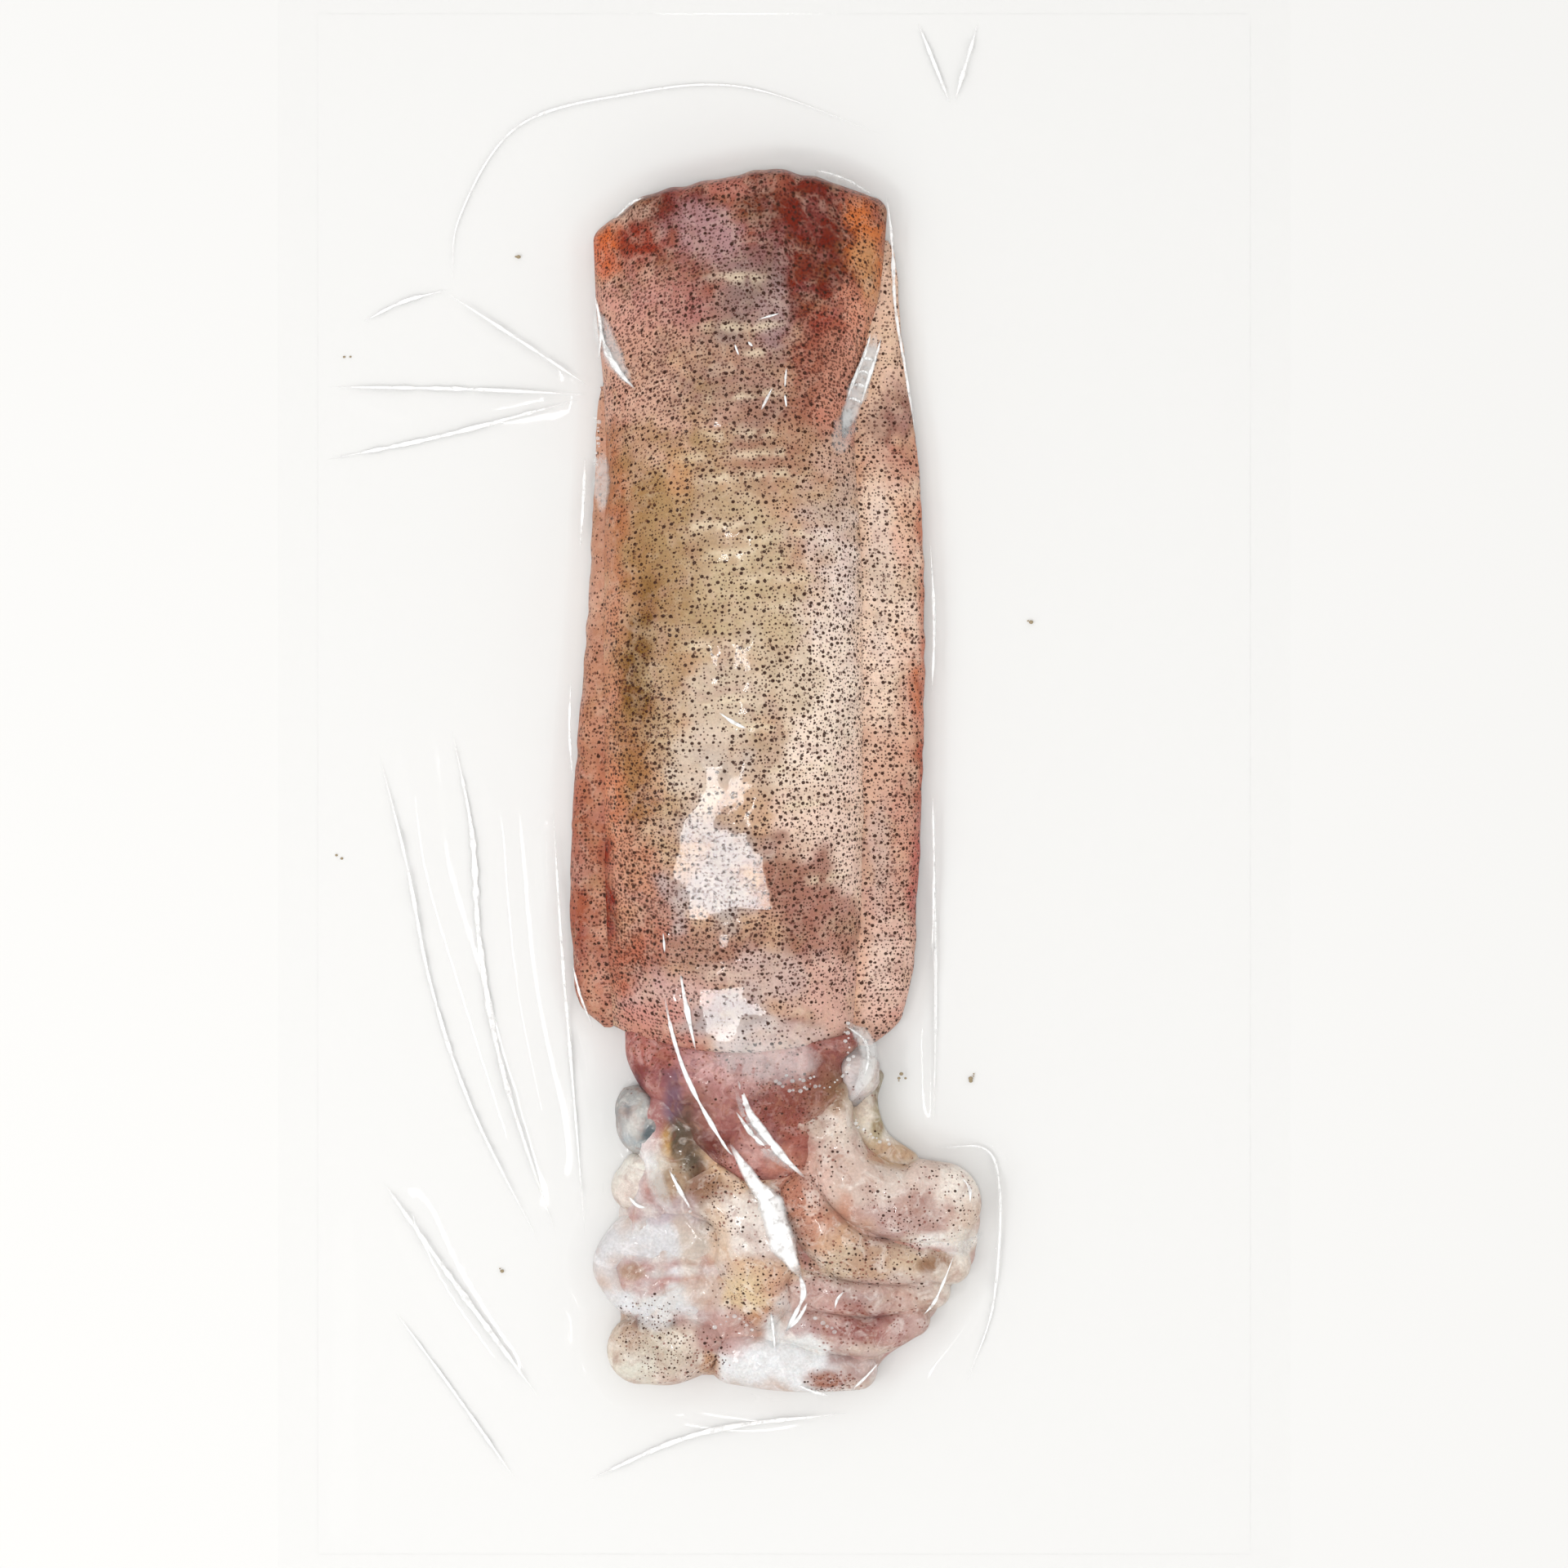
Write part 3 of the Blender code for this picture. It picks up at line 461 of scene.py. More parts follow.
def make_fin(name, node, edge_table, column):
    """Side fin folded down along the mantle: thick at its root, with a thin wavy free edge."""
    low, high = edge_table[0][0], edge_table[-1][0]
    rows, front, back = int(260 * FINE), 6, 10
    turns = np.radians(np.arange(10, 81, 10))
    y = np.concatenate([low + front * (1 - np.cos(turns)), np.linspace(low + front, high - back, rows),
                        high - back * (1 - np.cos(turns[::-1]))])
    kept = np.concatenate([np.sin(turns), np.ones(rows), np.sin(turns[::-1])])
    outer, share = at_stations(edge_table, y).T
    side = 1 if column else -1
    inner = mantle_side(np.maximum(y, -55.0), column) - side * 3.0 * kept
    outer = inner + side * np.maximum(1.2, np.abs(outer - inner) * (0.35 + 0.65 * kept))
    outer += side * 0.25 * patchy(y, y * 0 + 9, 4.0, 41 + column)
    height = FIN_HEIGHT * share * (0.5 + 0.5 * kept)
    profile = smooth_curve(((0.0, 0.0), (0.0, 0.95), (0.15, 1.08), (0.45, 0.97), (0.75, 0.80), (0.93, 0.55),
                            (1.0, 0.28), (0.97, 0.0)), int(44 * FINE))
    across, up = profile[:, 0].clip(0, 1), profile[:, 1].clip(0, None)
    x = inner[:, None] + (outer - inner)[:, None] * across
    ys = np.repeat(y[:, None], len(across), axis=1)
    z = BASE + height[:, None] * up
    z += (0.35 * patchy(x, ys, 7, 43) + 0.12 * patchy(x, ys, 2.5, 44)) * np.clip(up * 2 - 0.6, 0, 1)
    floor = np.stack([x[:, ::-5], ys[:, ::-5], np.full_like(x[:, ::-5], BASE)], -1)
    return loft(name, np.concatenate([np.stack([x, ys, z], -1), floor], axis=1), node)


# ---------------------------------------------------------------- head, eyes, arms and tentacles
PRESS_GAP = -1.5
HEAD = ((-10, -64.6, 29, 19.2), (-10, -67, 29, 20.6), (-10, -72, 28.5, 21.5), (-9, -78, 26, 21),
        (-9, -85, 18.5, 19))
EYES = {
    "eye_left": ((-34, -80, 7.5, 16.5), (-33, -84, 8, 17), (-31, -88, 6.5, 15.5)),
    "eye_right": ((16.5, -69, 7, 16), (17, -73, 6.5, 15)),
}
ARMS = {
    "arm_1": ((-15.5, -96, 11.5, 19), (-10.5, -105, 11, 20), (-6.4, -117, 10.5, 19.5),
              (-5.4, -126, 8.5, 16.5)),
    "arm_2": ((12.5, -89, 7.5, 17), (15, -96, 8.5, 18), (22, -101, 9, 17.5),
              (31, -102.5, 10.5, 17), (38.5, -103, 10, 14.5)),
    "arm_3": ((2.5, -98, 7, 17.5), (7, -107, 7, 17), (15, -115, 7, 16.5),
              (25, -117.5, 6.5, 15.5), (33, -118.5, 6, 13.5), (41, -118, 5, 11)),
    "arm_4": ((3.5, -122, 5, 15.5), (13, -125.5, 5.5, 15.5), (24, -126.5, 5.5, 14.5),
              (36.5, -124.5, 4.5, 11)),
    "arm_5": ((1.5, -132.5, 5, 14.5), (12, -134.5, 6, 15), (22, -134.5, 6, 13.5),
              (31.5, -131.5, 4.5, 11)),
    "arm_6": ((-12, -140.5, 7, 14), (-2, -142, 7, 14), (8, -143.5, 6, 13),
              (18, -144, 5, 11)),
    "arm_7": ((-20.5, -137.5, 7.5, 14), (-28, -138.5, 9, 15.5), (-35, -139, 8.5, 13)),
    "arm_8": ((-20, -110.5, 7.5, 14.5), (-28.5, -111, 7.8, 15), (-36.5, -111.4, 6.3, 14),
              (-43.5, -118.5, 3.6, 11.5), (-36.5, -126.2, 5, 13), (-28, -125.8, 5.8, 13.5),
              (-19, -125.6, 5.6, 13)),
    "tentacle_left": ((-28.5, -93, 5.5, 13.5), (-33, -96, 7, 14), (-36.5, -99, 6, 12.5)),
    "tentacle_right": ((22.8, -72, 1.8, 7.5), (20, -77, 3.2, 9), (20, -83, 4, 10),
                       (23, -89, 4, 10), (30, -93.5, 3.5, 9)),
}


class SoftBody:
    """A limb, head or eye that lies along a route and is pressed flat against its neighbours."""

    def __init__(self, name, table, bow=0.0):
        self.name, self.bow = name, bow
        samples = smooth_curve(table, max(12, int(length_of(np.array(table)[:, :2]) / 0.8 * FINE)))
        self.centre, self.half, top = samples[:, :2], samples[:, 2], samples[:, 3]
        self.waist = BASE + 0.4 * (top - BASE)
        self.rise = top - self.waist
        tangent = np.full_like(self.centre, (0.0, -1.0)) if bow else np.gradient(self.centre, axis=0)
        self.tangent = tangent / np.linalg.norm(tangent, axis=1)[:, None]

    def bend(self, x):
        return self.bow * (x - RIM_LINE["middle"]) ** 2

    def depth(self, x, y):
        """How far outside the body each place in the plan is; below zero inside it."""
        across = np.hypot(self.centre[:, 0] - x[..., None], self.centre[:, 1] + self.bend(x)[..., None] - y[..., None])
        return (across - self.half).min(axis=-1)

    def holds(self, x, y, others):
        """Whether the body keeps a place, sharing the room with its neighbours."""
        own = self.depth(x, y)
        # it ends under the mantle's rim, and stops short of the right fin
        good = (own <= 0.05) & (y <= bowed(RIM_LINE, x) + 1.0) & ((x < 18.5) | (y < -65.6))
        for other in others:
            good &= own + PRESS_GAP <= other.depth(x, y)
        return good

    def sections(self):
        """Centre, tangent, half width, waist and rise of each ring, with rounded ends."""
        turns = np.radians(np.arange(8, 89, 8))
        ends = []
        for end, outwards in ((0, -1), (-1, 1)):
            centre = self.centre[end] + outwards * self.tangent[end] * self.half[end] * np.sin(turns)[:, None]
            fade = np.cos(turns)
            ends.append((centre, np.repeat(self.tangent[end][None], len(turns), 0), self.half[end] * fade,
                         np.full(len(turns), self.waist[end]), self.rise[end] * fade ** 0.8))
        body = (self.centre, self.tangent, self.half, self.waist, self.rise)
        first = [np.concatenate(parts) for parts in zip([part[::-1] for part in ends[0]], body)]
        return [np.concatenate(parts) for parts in zip(body if self.bow else first, ends[1])]

    def rings(self, others, turns):
        """Rings that fill the room the neighbours leave on each side of the route."""
        parts = self.sections()
        kept = self.holds(parts[0][:, 0], parts[0][:, 1] + self.bend(parts[0][:, 0]), others)
        centre, tangent, half, waist, rise = (part[kept] for part in parts)
        reach = []
        for side in (1, -1):
            low, high = np.zeros(len(half)), np.ones(len(half))
            for _ in range(10):
                middle = (low + high) / 2
                x = centre[:, 0] - side * tangent[:, 1] * half * middle
                y = centre[:, 1] + side * tangent[:, 0] * half * middle + self.bend(x)
                good = self.holds(x, y, others)
                low, high = np.where(good, middle, low), np.where(good, high, middle)
            share = low
            for _ in range(8):
                beside = (np.append(share[1:], share[-1]) + np.append(share[0], share[:-1])) / 2
                share = np.minimum(share, beside + 0.01)
            reach.append((half * share)[:, None])
        room = (reach[0] + reach[1]) / (2 * half[:, None])
        rise = rise[:, None] * (0.3 + 0.7 * np.clip(1.5 * room, 0, 1))
        across, up = np.cos(turns)[None], np.sin(turns)[None]
        width = np.where(across > 0, reach[0], reach[1]) * np.sign(across)
        width = width * np.abs(across) ** np.where(up >= 0, 0.74, 0.3)
        waist = waist[:, None]
        z = np.where(up >= 0, waist + rise * np.abs(up) ** 0.74, waist - (waist - BASE) * np.abs(up) ** 0.3)
        x = centre[:, :1] - tangent[:, 1:] * width
        return np.stack([x, centre[:, 1:] + tangent[:, :1] * width + self.bend(x), z], -1)


def wrinkled(rings, seed, coarse=0.3, fine=0.06):
    """Flesh is never quite even: lift and sink the top of each ring a little."""
    x, y, z = rings[..., 0], rings[..., 1], rings[..., 2]
    top = np.clip((z - BASE - 3) / 5, 0, 1)
    rings[..., 2] = z + top * (coarse * patchy(x, y, 5.5, seed, 2) + fine * patchy(x, y, 1.8, seed + 1, 2))
    return rings


WEB_CENTRE = (-2.0, -110.0)
WEB_OUTLINE = (
    (-34, -72), (-38.5, -84), (-37, -92), (-39, -100), (-41, -108), (-44, -116), (-43, -124), (-40, -130),
    (-41, -138), (-36, -144.5), (-24, -146), (-14, -146), (-4, -148), (8, -149), (19, -147), (27, -139), (35, -134),
    (40, -125), (46, -117), (48, -108), (45, -97), (35, -93.5), (27, -92), (21.5, -88), (18, -82), (17, -76),
    (14, -70), (-10, -68), (-28, -68),
)


def make_arm_web():
    """Web of skin and loose flesh at the roots of the arms, which shows wherever the arms part."""
    outline = smooth_curve(WEB_OUTLINE + WEB_OUTLINE[:1], int(320 * FINE))[:-1]
    centre = np.array(WEB_CENTRE)
    outline += (outline - centre) * 0.02 * patchy(outline[:, :1], outline[:, 1:], 6, 77)
    levels = [(1.0, 0.0), (1.0, 1.5), (0.995, 3.0), (0.985, 4.6), (0.97, 6.2), (0.95, 8.6), (0.92, 11.0)]
    levels += [(share, 12.4) for share in np.linspace(0.885, 0.02, int(46 * FINE))]
    rings = []
    for share, height in levels:
        place = centre + (outline - centre) * share
        near_head = np.clip((place[:, 1] + 105) / 20, 0, 1)
        low_end = 1 - 0.007 * np.maximum(0, place[:, 0] - 4) - 0.012 * np.maximum(0, -124 - place[:, 1])
        lift = BASE + height * low_end + 3.0 * near_head * min(1, height / 9)
        rings.append(np.column_stack([place, lift]))
    return loft("arm_web", wrinkled(np.array(rings), 78, 0.9, 0.25), "head")


def make_soft_bodies():
    """Head, eyes, arms and tentacles, by the names of their nodes."""
    bodies = [SoftBody("head", HEAD, RIM_LINE["bow"])]
    bodies += [SoftBody(name, table) for name, table in {**EYES, **ARMS}.items()]
    made = {}
    for seed, body in enumerate(bodies):
        turns = np.linspace(0, 2 * math.pi, int((110 if body.bow else 72) * FINE), endpoint=False) + 0.01
        rings = wrinkled(body.rings([b for b in bodies if b is not body], turns), 60 + seed * 3)
        if body.bow:
            # the head narrows to a neck that runs back into the collar
            middle = (rings[0].min(axis=0) + rings[0].max(axis=0)) / 2
            small = middle + (rings[0] - middle) * (0.74, 1.0, 0.52) - (2.0, 0.0, 0.6)
            back, root = small.copy(), small.copy()
            back[:, 1] = COLLAR_FLOOR - 1.0
            root[:, 1] = bowed(RIM_LINE, root[:, 0]) - 1.0
            rings = np.concatenate([[back], [root], rings])
        made[body.name] = loft(body.name + "_flesh", rings, body.name)
    return made


# ---------------------------------------------------------------- film
WEB_TOP, SKIN_GAP = 0.45, 0.12  # film over the back web, and over the skin
PULL, STEEPEST = 0.30, 0.9  # how hard it is sucked in across a gap, and how steeply it comes down
WELD_WIDTH, WELD_LAP = 10.0, 0.2  # the seal, and how far the webs run into it
CREASE_TOP, BUBBLE_TOP = 26.25, 26.0  # nothing on the film stands higher
NEAR_X, NEAR_Y, WEAVE = (-66, 60), (-160, 158), 0.8  # round the squid the film has a close weave
# Lines where the film meets the back web, round the squid.
FOOT_LINES = (
    (0.9, 0.8, ((36, 68), (37, 20), (36, -30), (36.4, -84))),
    (0.9, 0.8, ((40.3, -87.4), (52.9, -89.8), (54.4, -96), (52.8, -115), (48, -132), (36, -148))),
    (0.8, 0.8, ((-54, 8), (-60, -16), (-56, -48), (-49.5, -76), (-49, -108), (-51, -126))),
    (0.7, 0.8, ((30, 146), (32.5, 134), (33, 100))), (1.1, 3.5, ((-92, 20), (-90, -16), (-80, -52), (-62, -108))),
    (0.9, 2.5, ((-74, 12), (-70, -10), (-66, -50), (-56, -98))), (1, 4, ((-110, 96), (-84, 92), (-49, 98))),
    (0.9, 3, ((-84, 122), (-66, 108), (-49, 100))), (0.9, 3, ((-96, -98), (-84, -124), (-66, -150))),
    (0.8, 2.5, ((-33, -157), (-8, -160), (16, -156))), (0.9, 4, ((34, 192), (42, 184), (46, 172))),
)


# Places where the film lies flat over trapped juice, as outlines.
FACETS = (
   
    ((-22, 7), (-14, 6), (-11, 4), (-9, -5), (-15, -9), (-9, -12), (-5, -17), (-0.6, -31), (-12, -32), (-18, -35),
      (-25, -34), (-28, -24), (-27, -12), (-23, -6), (-21, -2)),
    ((-22, -49), (-11, -48), (-3, -53), (-2, -58), (-9, -59), (-11, -65), (-20, -63), (-22.4, -56)),
    ((-11.8, -88.4), (-7.6, -94.4), (-3, -99), (0.8, -107), (2, -114), (4, -119), (-0.8, -116.8), (-4.6, -115),
      (-5.4, -110.4), (-7.6, -104.6), (-9.2, -99)),
)


def inside_outline(x, y, outline):
    """Distance inside a closed outline; below zero outside it."""
    away, _ = along_line(x, y, outline + outline[:1])
    inside = np.zeros(x.shape, bool)
    for (ax, ay), (bx, by) in zip(outline, outline[1:] + outline[:1]):
        if ay != by:
            inside ^= ((ay > y) != (by > y)) & (x < (bx - ax) * (y - ay) / (by - ay) + ax)
    return np.where(inside, away, -away)


def highest_beside(grid):
    """The highest of the four neighbours of every place in a grid."""
    return np.maximum.reduce([np.roll(grid, shift, axis) for axis in (0, 1) for shift in (-1, 1)])


def squid_height(pieces, x_lines, y_lines):
    """Top of the squid over a regular grid, from every point of its meshes."""
    step = x_lines[1] - x_lines[0]
    height = np.zeros((len(x_lines), len(y_lines)))
    for piece in pieces:
        points = places_of(piece)
        column = np.rint((points[:, 0] - x_lines[0]) / step).astype(int)
        row = np.rint((points[:, 1] - y_lines[0]) / step).astype(int)
        np.maximum.at(height, (column, row), points[:, 2])
    for _ in range(2 if FINE < 1 else 1):
        around = highest_beside(height)
        height = np.where(height > 0, height, np.where(around > 0, around - 0.3, 0))
    return height


def drape(height, step):
    """Film sucked down on the squid: a taut skin that rests on it and pulls in where it can."""
    rest = np.where(height > 0, height + SKIN_GAP, 0.0)
    film = np.maximum(rest, WEB_TOP)
    for _ in range(14):
        film = np.maximum(film, highest_beside(film) - STEEPEST * step)
    for _ in range(500):
        even = (np.roll(film, 1, 0) + np.roll(film, -1, 0) + np.roll(film, 1, 1) + np.roll(film, -1, 1)) / 4
        film = np.maximum(np.maximum(rest, WEB_TOP), even - PULL * step ** 2 / 4)
    return film


def graded_lines(low, high, fine_low, fine_high, step, coarse):
    """Grid lines close together over the squid and further apart in the margins."""
    fine = np.arange(fine_low, fine_high + step / 2, step)
    before = np.linspace(low, fine_low, int((fine_low - low) / coarse) + 1)[:-1]
    after = np.linspace(fine[-1], high, int((high - fine[-1]) / coarse) + 1)[1:]
    return np.concatenate([before, fine, after])


def web(name, x, y, z, corners=(0, 1, 2, 3)):
    """A web of film through a grid of points, with the corners of each face taken in the order given."""
    row, column = np.meshgrid(np.arange(x.shape[0] - 1), np.arange(x.shape[1] - 1), indexing="ij")
    here, beyond = row * x.shape[1] + column, (row + 1) * x.shape[1] + column
    quads = np.stack([here, beyond, beyond + 1, here + 1], -1).reshape(-1, 4)[:, list(corners)]
    return new_piece(name, np.stack([x, y, z], -1).reshape(-1, 3), quads.tolist(), "pouch")


def film_cell(xs, ys, places):
    """Column and row of the film's grid in which each place lies."""
    return [np.clip(np.searchsorted(lines, places[:, axis]) - 1, 0, len(lines) - 2)
            for axis, lines in enumerate((xs, ys))]


def on_film(xs, ys, film, line, step, lift):
    """Places every step along a line, lifted to the top of the film."""
    route = smooth_curve(line, max(2, int(length_of(line) / step)))
    u, v = film_cell(xs, ys, route)
    return np.column_stack([route, np.minimum(film[u, v] + lift, BUBBLE_TOP)])


def make_front_film(pieces):
    """Upper web: hugs the squid, tents down to the back web, and lies on it out to the weld."""
    (half_x, half_y), step = POUCH_HALF, 1.0
    x_lines, y_lines = np.arange(-half_x, half_x + 0.5, step), np.arange(-half_y, half_y + 0.5, step)
    film = drape(squid_height(pieces, x_lines, y_lines), step)
    half_x, half_y = half_x - WELD_WIDTH + WELD_LAP, half_y - WELD_WIDTH + WELD_LAP
    xs = graded_lines(-half_x, half_x, *NEAR_X, WEAVE / FINE, 2.0)
    ys = graded_lines(-half_y, half_y, *NEAR_Y, WEAVE / FINE, 3.0)
    x, y = np.meshgrid(xs, ys, indexing="ij")
    u, v = (x - x_lines[0]) / step, (y - y_lines[0]) / step
    iu, iv = np.minimum(u.astype(int), len(x_lines) - 2), np.minimum(v.astype(int), len(y_lines) - 2)
    fu, fv = u - iu, v - iv
    z = ((film[iu, iv] * (1 - fu) + film[iu + 1, iv] * fu) * (1 - fv)
         + (film[iu, iv + 1] * (1 - fu) + film[iu + 1, iv + 1] * fu) * fv)
    for outline in FACETS:
        deep = inside_outline(x, y, outline) + 1.5 * patchy(x, y, 3.8, 85, 3)
        weight = np.clip(deep / 0.5, 0, 1)
        level = np.quantile(z[deep > 0.8], 0.97)  # flat at nearly the highest place it covers
        z += (np.maximum(level, z) - z) * weight
    for high, width, line in FOOT_LINES:
        away, share = along_line(x, y, smooth_curve(line, 24))
        z += high * np.exp(-(away / width) ** 2) * tapered(share)
    loose = np.clip(1 - (z - WEB_TOP) / 3, 0, 1) * np.clip((half_x - abs(x)) / 10, 0, 1)
    z += loose * (0.2 * patchy(x, y, 40, 81) + 0.25)
    edge = np.clip(np.minimum(half_x - abs(x), half_y - abs(y)) / 12, 0, 1)
    z = 0.2 + (z - 0.2) * eased(edge)
    front = web("film_front", x, y, z)
    chains = [on_film(xs, ys, z, line, 1.0, 0.0) for line in BUBBLE_CHAINS]
    crumbs = [on_film(xs, ys, z, ((x, y), (x + 0.7, y - 0.4)), 0.4, -0.1) for x, y in CRUMBS]
    return front, make_highlight_pleats(xs, ys, z), chains, crumbs


# Standing creases where the film is doubled, painted white as the film's highlight streaks: width at the middle, and
# the line on which they lie.
HIGHLIGHT_PLEATS = (
    (1.3, ((-29.2, -51), (-27.4, -60), (-24.6, -69), (-20.4, -78), (-14.6, -88), (-12, -91))),
    (1.2, ((-25.2, -46), (-23.8, -54), (-21.4, -65.4))),
    (2.4, ((-11.4, -71.4), (-8.4, -80), (-4.2, -86), (0.4, -91.6), (5.4, -96.4))),
    (1, ((-11.8, -79.6), (-7.8, -85.4), (-2.8, -90))),
    (3.2, ((-13.2, -87.6), (-10, -93), (-6.8, -98), (-4, -103), (-3, -109))),
    (7, ((-7, -96), (-3.4, -102), (-1.4, -108.6), (0.6, -114), (4.4, -121))),
    (1.4, ((3.8, -119.6), (4.6, -125.4), (0.2, -134.4))), (1, ((5.8, -126.6), (4, -130), (1, -133.4))),
    (0.8, ((14.6, -124), (13, -126), (12.4, -128.4))), (0.8, ((-3.2, -129), (-2.6, -134), (-2.2, -139))),
    (0.8, ((14.4, -58.6), (19.6, -62.6), (20.6, -67), (19.6, -72))), (1, ((-28.2, -94), (-25.6, -99), (-22.6, -104))),
    (1, ((23.2, -142), (20.4, -145), (16.4, -148.8))), (0.8, ((3.6, -147.2), (7, -148.8), (11, -150))),
    (0.7, ((34, -130.4), (37.4, -126), (42, -114.6))), (0.9, ((21.4, 111), (20, 106), (17.2, 99), (15, 93))),
    (0.9, ((24, 110), (22.6, 105), (20.6, 99), (18.6, 92))), (0.8, ((19, 103.6), (20.4, 104.4), (22.2, 103.8))),
    (0.8, ((18, 100.6), (19.6, 101.2), (21.2, 100.2))), (0.8, ((16.8, 97.4), (18.2, 97.8), (20.4, 97.2))),
    (0.7, ((15.6, 94.2), (17.2, 94.2), (19.2, 93.4))), (1.6, ((-45.4, 113.4), (-43.4, 106), (-40, 100.4), (-36, 96))),
    (0.9, ((-46.4, 120), (-45, 112), (-45.4, 104))),
    (1, ((25, 146), (26.6, 133), (27.4, 117), (30, 101), (32.4, 86))), (0.8, ((36, 60), (37, 40), (36.4, 22))),
    (0.8, ((36.6, -2), (37, -24), (36.4, -44))), (0.8, ((-52.4, 26), (-52.8, 14), (-52, 2))),
    (0.8, ((-49, 81), (-49.4, 70), (-50.2, 58))), (0.7, ((-52, -44), (-50, -52), (-47, -60))),
    (0.9, ((-34, 143.6), (-37.6, 142), (-42, 138))), (0.8, ((7, 150.6), (14, 149), (22, 144.6))),
    (0.7, ((0.6, 101.4), (0.2, 96.4))), (0.7, ((0.2, 94.8), (0.6, 91.6))),
    (0.8, ((-2.8, 96.4), (-4, 94), (-5.6, 90.8))), (0.6, ((-12, 107), (-11, 104.2))),
    (0.6, ((-8.8, 107.6), (-7.6, 106.4))), (0.6, ((-6.4, 113), (-1, 114.6))),
    (1, ((-15.8, 17.4), (-12.4, 15), (-9, 13.4))), (0.7, ((-29.4, -36), (-29, -41))),
    (0.8, ((-38.2, -100.8), (-36, -103), (-33.6, -103.6))), (0.8, ((43.6, -96.4), (45.4, -99), (45.6, -102.6))),
)


# Slack film that stands off the skin as a thin pale veil, partly milky film and partly painted glare: width, how
# milky, and its line.
VEILS_AND_SHEENS = (
    (5.4, 0.55, ((22.6, 111), (20.8, 104), (18.4, 97), (16.2, 91), (14.6, 84))),
    (6.5, 0.22, ((17, 92), (14.5, 86), (13, 80))), (5.5, 0.35, ((-46.4, 117), (-44, 110), (-41, 103), (-37, 97))),
    (5, 0.5, ((15, -58), (20, -63), (20.4, -70), (16, -78))), (8, 0.15, ((-38, -76), (-37.4, -83), (-37, -90))),
    (13, 0.22, ((-19, -65), (-8, -67), (2, -67.5), (10, -67))), (4.5, 0.35, ((-44.5, 82), (-44.8, 74), (-44.5, 66))),
    (3.6, 0.3, ((-12, -74), (-8, -83), (-3, -90), (3, -95))), (5, 0.3, ((-33, -88), (-31, -98), (-27, -106))),
    (6, 0.25, ((0, -124), (-1, -131), (-3, -138))), (4.5, 0.3, ((36, -112), (43, -114), (49, -110))),
    # creases in the slack film of the margins, painted white as the film's sheens
    (1, 1, ((-113, 98), (-80, 97.5), (-48, 96))), (1.2, 1, ((-113, 80), (-84, 86), (-50, 95))),
    (1, 1, ((-104, 114), (-94, 119), (-83, 122))), (0.8, 1, ((-83, 121), (-66, 110), (-48, 98))),
    (1.6, 1, ((-82, 14), (-77, -12), (-75, -40), (-69, -72), (-56, -112))),
    (1, 1, ((-100, 8), (-93, -20), (-87, -50), (-77, -80), (-60, -114))),
    (0.8, 1, ((-57, -6), (-54, -50), (-49, -112))), (1.4, 1, ((-99, -98), (-82, -122), (-60, -152))),
    (0.8, 1, ((-96, -130), (-80, -152), (-66, -172))), (1.4, 1, ((-49, -172), (-20, -160), (16, -155))),
    (0.7, 1, ((37, -11), (37.4, -50), (37, -84))), (0.7, 1, ((38, -89), (52, -93), (52, -126), (45, -148))),
    (0.9, 1, ((33, 188), (37, 178), (41, 168))), (0.9, 1, ((48, 188), (45, 178), (42, 168))),
    (0.7, 0.9, ((-82, 122), (-80, 140), (-66, 162), (-40, 170), (-10, 172), (25, 160))),
)


def make_highlight_pleats(xs, ys, film):
    """Creases of doubled film: low ridges on the front web, tapering to nothing at both ends, painted white as
    highlights.
    """
    points, faces, haze = [], [], []
    for number, (width, milky, line) in enumerate([(w, 1.0, line) for w, line in HIGHLIGHT_PLEATS] + list(VEILS_AND_SHEENS)):
        count = 10 + int(1.2 * length_of(line))
        route = smooth_curve(line, count)
        heading = np.gradient(route, axis=0)
        heading /= np.linalg.norm(heading, axis=1)[:, None]
        normal = np.column_stack([-heading[:, 1], heading[:, 0]])
        share = np.linspace(0, 1, count)
        raggedness = 0.45 if milky == 1 and width < 2 else 0.2
        ragged = 1 + raggedness * patchy(route[:, 0] + 30 * number, route[:, 1], 2.5, 91, 3)
        half = 0.5 * width * np.sin(math.pi * share) ** 0.7 * ragged + 0.02
        first = len(points)
        for across, lift, cover in ((-1, 0.0, 0), (-0.6, 0.08, 0.9), (0, 0.16, 1), (0.6, 0.08, 0.9), (1, 0.0, 0),
                                    (0, -0.2, 0)):
            place = route + normal * (across * half)[:, None]
            u, v = film_cell(xs, ys, place)
            level = np.max([film[u + i, v + j] for i in (0, 1) for j in (0, 1)], axis=0)
            level = np.minimum(level + 0.06 + lift * milky ** 2 * np.minimum(1, half / 0.6), CREASE_TOP)
            points += np.column_stack([place, level]).tolist()
            haze += (milky * cover * tapered(share)).tolist()
        starts = [first + k * count for k in range(6)]
        for a, b in zip(starts, starts[1:] + starts[:1]):
            faces += [(a + j, a + j + 1, b + j + 1, b + j) for j in range(count - 1)]
        faces += [tuple(starts), tuple(a + count - 1 for a in starts[::-1])]
    piece = outward(new_piece("film_pleats", points, faces, "pouch"))
    piece.data.set_sharp_from_angle(angle=math.radians(60))
    # how much painted white each point carries: the fold's own whitening and painted highlight
    layer = piece.data.attributes.new("haze", "FLOAT", "POINT")
    layer.data.foreach_set("value", haze)
    return piece


